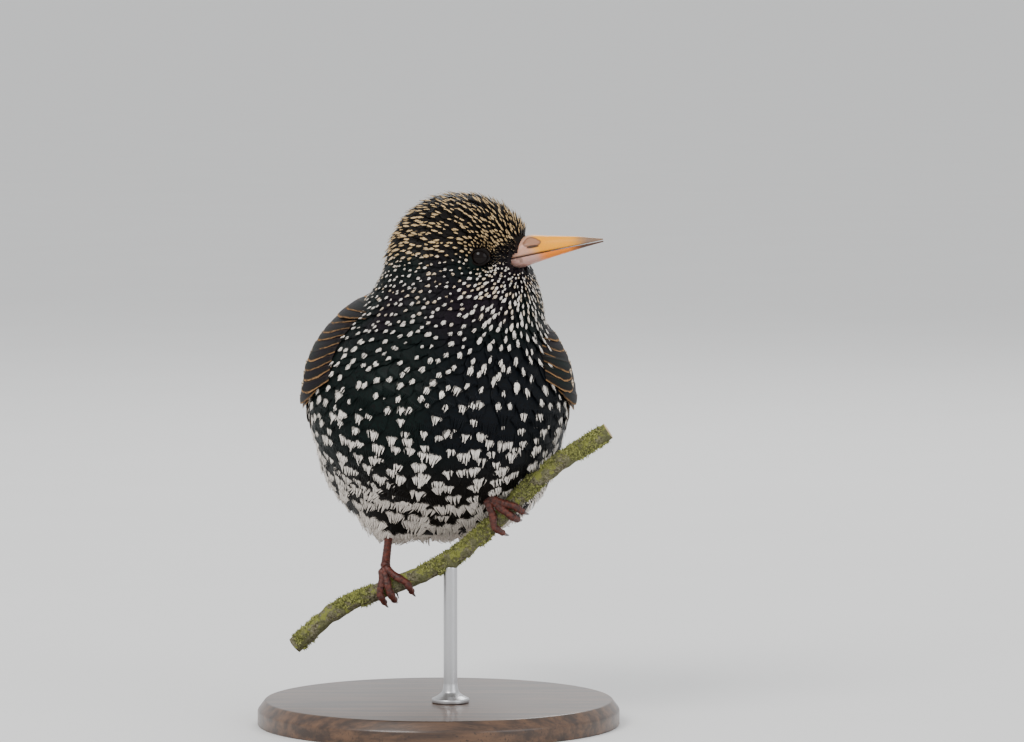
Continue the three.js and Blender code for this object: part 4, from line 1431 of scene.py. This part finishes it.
TAIL_TIERS = [
    {"kind": "flight", "count": 6, "roots": ((8, 0.8), (8, 4)), "tips": ((67, 1.7), (69.5, 10)),
     "half": 3.6, "lifts": (0.4, 0.4), "step": -0.45},
    {"kind": "covert", "count": 4, "roots": ((4, 0.6), (4, 6)), "tips": ((30, 1.2), (25, 8)),
     "half": 2.7, "lifts": (0.9, 1.5)},
    {"kind": "covert", "count": 4, "roots": ((-6, 0.8), (-6, 6)), "tips": ((18, 1.6), (15, 8)),
     "half": 3.0, "lifts": (1.2, 2.1)},
    {"kind": "covert", "count": 4, "roots": ((-2, 0.8), (-2, 6)), "tips": ((40, 1.4), (34, 8)),
     "half": 3.0, "lifts": (0.6, 1.4), "under": True},
    {"kind": "covert", "count": 4, "roots": ((-8, 0.8), (-8, 6)), "tips": ((24, 1.6), (20, 8)),
     "half": 3.2, "lifts": (1.0, 2.2), "under": True},
]
TAIL_CORE = {"length": 40, "half": (8, 10), "above": (2.2, 0.1), "below": (5.2, 2.6)}
# Across a quill's vane: where the shaft lies, how thick vane and shaft are, and the columns
SHAFT = 0.22
QUILL_THICK = 0.14
SHAFT_THICK = 0.12
QUILL_COLUMNS = np.array([
    -1, -0.8, -0.55, -0.3, -0.05, SHAFT - 0.05, SHAFT, SHAFT + 0.05, 0.45, 0.65, 0.85, 1,
])
QUILL_SHAPES = {
    "flight": {
        "rows": [
            0, 0.08, 0.16, 0.25, 0.34, 0.43, 0.52, 0.6, 0.68, 0.75, 0.81, 0.86, 0.9, 0.935, 0.965, 0.985, 1,
        ],
        "width": ([0, 0.1, 0.4, 0.78, 0.9, 0.97, 1], [0.45, 0.8, 1, 0.92, 0.72, 0.4, 0.1]),
    },
    "covert": {
        "rows": [0, 0.15, 0.3, 0.45, 0.58, 0.69, 0.78, 0.86, 0.92, 0.965, 1],
        "width": ([0, 0.3, 0.6, 0.84, 0.93, 0.98, 1], [0.6, 0.92, 1, 0.84, 0.6, 0.34, 0.12]),
    },
}


def wing_point(side, along, angle, lift):
    pitch = math.radians(WING_PITCH)
    turn = np.radians(angle)
    along, turn, lift = np.broadcast_arrays(along, turn, lift)
    start = WING_AXIS + along[..., None] * np.array([0, math.cos(pitch), math.sin(pitch)])
    out = np.stack([side * np.sin(turn), -np.cos(turn) * math.sin(pitch), np.cos(turn) * math.cos(pitch)], -1)
    flat = trunk.cast(start.reshape(-1, 3), out.reshape(-1, 3))
    return (flat + trunk.normal(flat) * lift.reshape(-1, 1)).reshape(start.shape)


def tail_frame():
    run = unit(TAIL_TIP - TAIL_ROOT)
    return run, unit(np.cross([1, 0, 0], run))


def tail_point(along, x, lift):
    run, up = tail_frame()
    along, x, lift = np.broadcast_arrays(along, x, lift)
    rise = lift - TAIL_DROOP * np.abs(x)
    return TAIL_ROOT + along[..., None] * run + rise[..., None] * up + x[..., None] * np.array([1, 0, 0])


def tier_feathers(tier):
    share = np.linspace(0, 1, tier["count"])[:, None]
    roots = mix(np.array(tier["roots"][0], float), np.array(tier["roots"][1], float), share)
    tips = mix(np.array(tier["tips"][0], float), np.array(tier["tips"][1], float), share)
    return roots, tips


def quill_material(name, gloss):
    """Edge is the distance in from the vane's edge and back from its tip, Barb the place across
    from the shaft and along it, all in millimetres; Trait is the fringe's colour, and a draw."""
    tree = Tree(name)
    edge, back, _ = tree.xyz(tree.uv("Edge"))
    side, run, _ = tree.xyz(tree.uv("Barb"))
    brown, draw = tree.trait()
    seed = draw * 40.0
    aside = abs(side)
    barb = tree.noise(tree.vector((run - aside * 0.9) * 3.0, aside * 0.25), 1.0, 3.0, 0.65, seed)
    wear = tree.noise(tree.vector(run, side), 0.5, 2.0, 0.5, seed)
    blotch = tree.noise(tree.place(), 0.05, 1.0)
    dark = tree.mix(barb, (0.003, 0.003, 0.003), (0.013, 0.011, 0.009))
    sheen = tree.mix(blotch.ramp(0.4, 0.6), (0.003, 0.011, 0.010), (0.008, 0.005, 0.010))
    dark = tree.mix(edge.ramp(0.5, 2.2) * gloss, dark, sheen)

    # A worn brown fringe that fades towards the root, and a cream spot at most tips
    limit = edge + (wear - 0.5) * 0.9 + (barb - 0.5) * 0.5
    fringe = limit.ramp(0.62, 0.22) * back.ramp(26.0, 4.0, 0.15, 0.95)
    fringe = fringe * wear.ramp(0.36, 0.56, 0.25, 1.0)
    spot = (back + aside * 1.1 + (barb - 0.5) * 1.4).ramp(2.3, 1.6) * draw.ramp(0.3, 0.5, 0.3, 1.0)
    colour = tree.mix(fringe, dark, brown)
    colour = tree.mix(spot, colour, (0.62, 0.50, 0.37))
    colour = tree.mix(aside.ramp(0.20, 0.10) * 0.8, colour, (0.024, 0.017, 0.012))
    pale = fringe.most(spot)
    tree.bump(barb, 0.4, 0.00012)
    return tree.finish(
        Base_Color=colour,
        Metallic=pale.rest() * 0.06,
        Roughness=pale.ramp(0.0, 1.0, 0.46, 0.8),
        Specular_IOR_Level=0.07,
    )


def make_quills(name, tiers, place, material, fringe):
    """One piece holding every feather of some tiers; place turns along, across, lift into points."""
    verts, faces, edges, barbs, patches, traits = [], [], [], [], [], []
    start = 0
    feathers = sum(tier["count"] for tier in tiers)
    cells = int(math.ceil(math.sqrt(feathers)))
    cell = 0
    for tier in tiers:
        shape = QUILL_SHAPES[tier["kind"]]
        v = np.array(shape["rows"])[:, None] + 0 * QUILL_COLUMNS
        u = QUILL_COLUMNS + 0 * v
        width = np.interp(v, *shape["width"])
        roots, tips = tier_feathers(tier)
        for i, (root, tip) in enumerate(zip(roots, tips)):
            tip = tip + rng.normal(0, 1, 2) * (0.6, 0.25)
            half = tier["half"] * rng.normal(1, 0.03)
            notch = 1 + rng.normal(0, 0.03, u.shape) * (np.abs(u) > 0.9)
            aside = u * half * width * notch
            tilt = TILT[tier["kind"]] * rng.normal(1, 0.12)
            lift = mix(*tier["lifts"], v) + tier.get("step", 0) * i + tilt * aside + rng.normal(0, 0.06)
            lift = lift - 0.35 * np.abs(u - SHAFT) ** 2 * (0.4 + 0.6 * v)
            lift = lift + 0.16 * (np.abs(u - SHAFT) < 0.02) * (1 - 0.6 * v)
            thick = QUILL_THICK * (1 - 0.5 * v) + SHAFT_THICK * (np.abs(u - SHAFT) < 0.07)
            along = mix(root[0], tip[0], v)
            across = mix(root[1], tip[1], v)
            top = place(along, across, aside, lift, tier)
            low = place(along, across, aside, lift - thick, tier)
            rows, columns = v.shape
            both = np.concatenate([top.reshape(-1, 3), low.reshape(-1, 3)])
            quads = grid_faces(rows, columns)
            count = rows * columns
            rim = []
            border = (
                [(0, k) for k in range(columns)]
                + [(r, columns - 1) for r in range(1, rows)]
                + [(rows - 1, k) for k in range(columns - 2, -1, -1)]
                + [(r, 0) for r in range(rows - 2, 0, -1)]
            )
            for (r0, k0), (r1, k1) in zip(border, border[1:] + border[:1]):
                a, b = r0 * columns + k0, r1 * columns + k1
                rim.append([b, a, a + count, b + count])
            mesh = np.concatenate([quads, quads[:, ::-1] + count, np.array(rim)])
            mesh = outward(both, mesh)
            length = np.linalg.norm(top[-1, 5] - top[0, 5])
            from_side = (1 - np.abs(u)) * half * width
            from_tip = (1 - v) * length
            edge = np.minimum(from_side, from_tip * 0.8)
            edge_uv = np.stack([edge, from_tip], -1)
            barb_uv = np.stack([(u - SHAFT) * half * width, v * length], -1)
            spot = np.array([cell % cells, cell // cells]) + 0.5
            size = np.array([0.38 * half / max(half, 4), 0.45])
            patch_uv = (spot + np.stack([u, 2 * v - 1], -1) * size) / cells
            verts.append(both)
            faces.append(mesh + start)
            for store, uv in ((edges, edge_uv), (barbs, barb_uv), (patches, patch_uv)):
                store.append(np.concatenate([uv.reshape(-1, 2)] * 2))
            colour = np.append(np.clip(fringe * rng.normal(1, 0.12), 0, 1), rng.random())
            traits.append(np.tile(colour, (len(both), 1)))
            start += len(both)
            cell += 1
    corner = np.concatenate(faces).ravel()
    uvs = {
        "Edge": np.concatenate(edges)[corner],
        "Barb": np.concatenate(barbs)[corner],
        "OFBake": np.concatenate(patches)[corner],
    }
    made = new_object(name, np.concatenate(verts), np.concatenate(faces), uvs, material)
    layer = made.data.color_attributes.new(name="Trait", type="FLOAT_COLOR", domain="POINT")
    layer.data.foreach_set("color", np.concatenate(traits).astype(np.float32).ravel())
    return made


def plate(rows_top, rows_low):
    """A closed plate between two grids of points."""
    return tube_mesh(np.concatenate([rows_top, rows_low[:, ::-1]], axis=1))


def bed_material():
    tree = Tree("feather_bed")
    grain = tree.noise(tree.place(), 1.5, 3.0)
    tree.bump(grain, 0.4, 0.0003)
    colour = tree.mix(grain, (0.006, 0.006, 0.007), (0.020, 0.019, 0.020))
    return tree.finish(Base_Color=colour, Roughness=0.7)


def make_wings():
    flight = quill_material("wing_feathers", 0.55)
    bed = bed_material()
    brown = np.array([0.34, 0.19, 0.085])
    for side, name in ((-1, "wing_right"), (1, "wing_left")):
        def place(along, across, aside, lift, tier):
            root_along, root_angle = along[0, 5], across[0, 5]
            hub = wing_point(side, root_along, root_angle, 0.0)
            pitch = math.radians(WING_PITCH)
            axis = WING_AXIS + root_along * np.array([0, math.cos(pitch), math.sin(pitch)])
            turned = np.degrees(aside / np.linalg.norm(hub - axis))
            return wing_point(side, along, across + turned, lift)

        show(make_quills(name + "_feathers", WING_TIERS, place, flight, brown), name)
        share = np.linspace(0, 1, 26)[:, None]
        low, high = mix(104, 84, share ** 1.2), mix(30, 66, share ** 1.3)
        trim = np.sqrt(np.minimum(1, share * 6 + 0.25))
        middle = (low + high) / 2
        angle = mix(middle + (high - middle) * trim, middle + (low - middle) * trim, np.linspace(0, 1, 15))
        along = mix(3, 72, share) + 0 * angle
        verts, faces = plate(wing_point(side, along, angle, 0.0), wing_point(side, along, angle, -1.2))
        show(weld(new_object(name + "_bed", verts, faces, material=bed)))


def make_tail():
    flight = quill_material("tail_feathers", 0.35)
    brown = np.array([0.34, 0.20, 0.10])
    parts = []
    for side in (-1, 1):
        def place(along, across, aside, lift, tier):
            under = tier.get("under", False)
            shift = -TAIL_CORE["below"][1] + 0.4 if under else 0
            return tail_point(along, side * (across + aside), shift + (-lift if under else lift))

        parts.append(make_quills(f"tail_{side}", TAIL_TIERS, place, flight, brown))
    for part, shift in zip(parts, (0, 0.5)):
        for uv in part.data.uv_layers["OFBake"].data:
            uv.uv = (uv.uv[0] * 0.5 + shift, uv.uv[1])
    bpy.ops.object.select_all(action="DESELECT")
    show(join_meshes("tail_feathers", parts), "tail")
    share = np.linspace(0, 1, 12)[:, None]
    across = np.linspace(-1, 1, 11) * mix(*TAIL_CORE["half"], share)
    along = share * TAIL_CORE["length"] + 0 * across
    verts, faces = plate(
        tail_point(along, across, mix(*TAIL_CORE["above"], share) - 0.2),
        tail_point(along, across, -mix(*TAIL_CORE["below"], share) + 0.2),
    )
    show(weld(new_object("tail_core", verts, faces, material=bed_material())))


# Floor, lights and camera

def floor_material():
    tree = Tree("pale_floor")
    grain = tree.noise(tree.place(), 0.01, 2.0)
    return tree.finish(Base_Color=tree.mix(grain, (0.74, 0.74, 0.735), (0.77, 0.77, 0.765)), Roughness=0.9)


def area_light(name, place, aim, size, power, colour=(1, 1, 1)):
    light = bpy.data.lights.new(name, "AREA")
    light.shape = "DISK"
    light.size = size
    light.energy = power
    light.color = colour
    made = bpy.data.objects.new(name, light)
    bpy.context.scene.collection.objects.link(made)
    made.location = place
    way = Vector(aim) - Vector(place)
    made.rotation_euler = way.to_track_quat("-Z", "Y").to_euler()


def make_studio():
    radius = 60.0
    angle = np.arange(96) * 2 * math.pi / 96
    steps = np.array([0.02, 0.4, 2, 10, radius]) / MM
    turns = (np.cos(angle), np.sin(angle), 0 * angle)
    grid = np.stack([np.outer(steps, turn) for turn in turns], -1)
    verts = np.concatenate([np.zeros((1, 3)), grid.reshape(-1, 3)])
    faces = grid_faces(len(steps), len(angle), closed_columns=True) + 1
    floor = new_object("floor", verts, faces, material=floor_material())
    world = bpy.data.worlds.new("studio")
    world.use_nodes = True
    back = world.node_tree.nodes["Background"]
    back.inputs["Color"].default_value = (0.92, 0.93, 0.94, 1)
    back.inputs["Strength"].default_value = 1.05
    bpy.context.scene.world = world
    aim = (0, 0, 0.11)
    area_light("key", (-0.8, -1.2, 1.3), aim, 0.9, 24, (1.0, 0.985, 0.96))
    area_light("fill", (1.2, -1.0, 0.7), aim, 1.2, 7, (0.95, 0.97, 1.0))
    area_light("rim", (0.3, 1.2, 1.2), aim, 0.8, 10)


def make_camera():
    data = bpy.data.cameras.new("camera")
    data.sensor_width = 36
    data.lens = 200
    data.clip_end = 200
    camera = bpy.data.objects.new("camera", data)
    bpy.context.scene.collection.objects.link(camera)
    rise = math.radians(CAMERA_RISE)
    aim = Vector(CAMERA_AIM)
    camera.location = aim + Vector((0, -math.cos(rise), math.sin(rise))) * CAMERA_DISTANCE
    camera.rotation_euler = (math.pi / 2 - rise, 0, 0)
    bpy.context.scene.camera = camera


CAMERA_AIM = (0.0235, -0.01, 0.114)
CAMERA_RISE = 4.0
CAMERA_DISTANCE = 1.806

make_camera()
make_studio()
make_body_coat(*make_skin())
make_wings()
make_tail()
make_eyes()
make_bill()
make_perch()
make_feet()
make_stand()
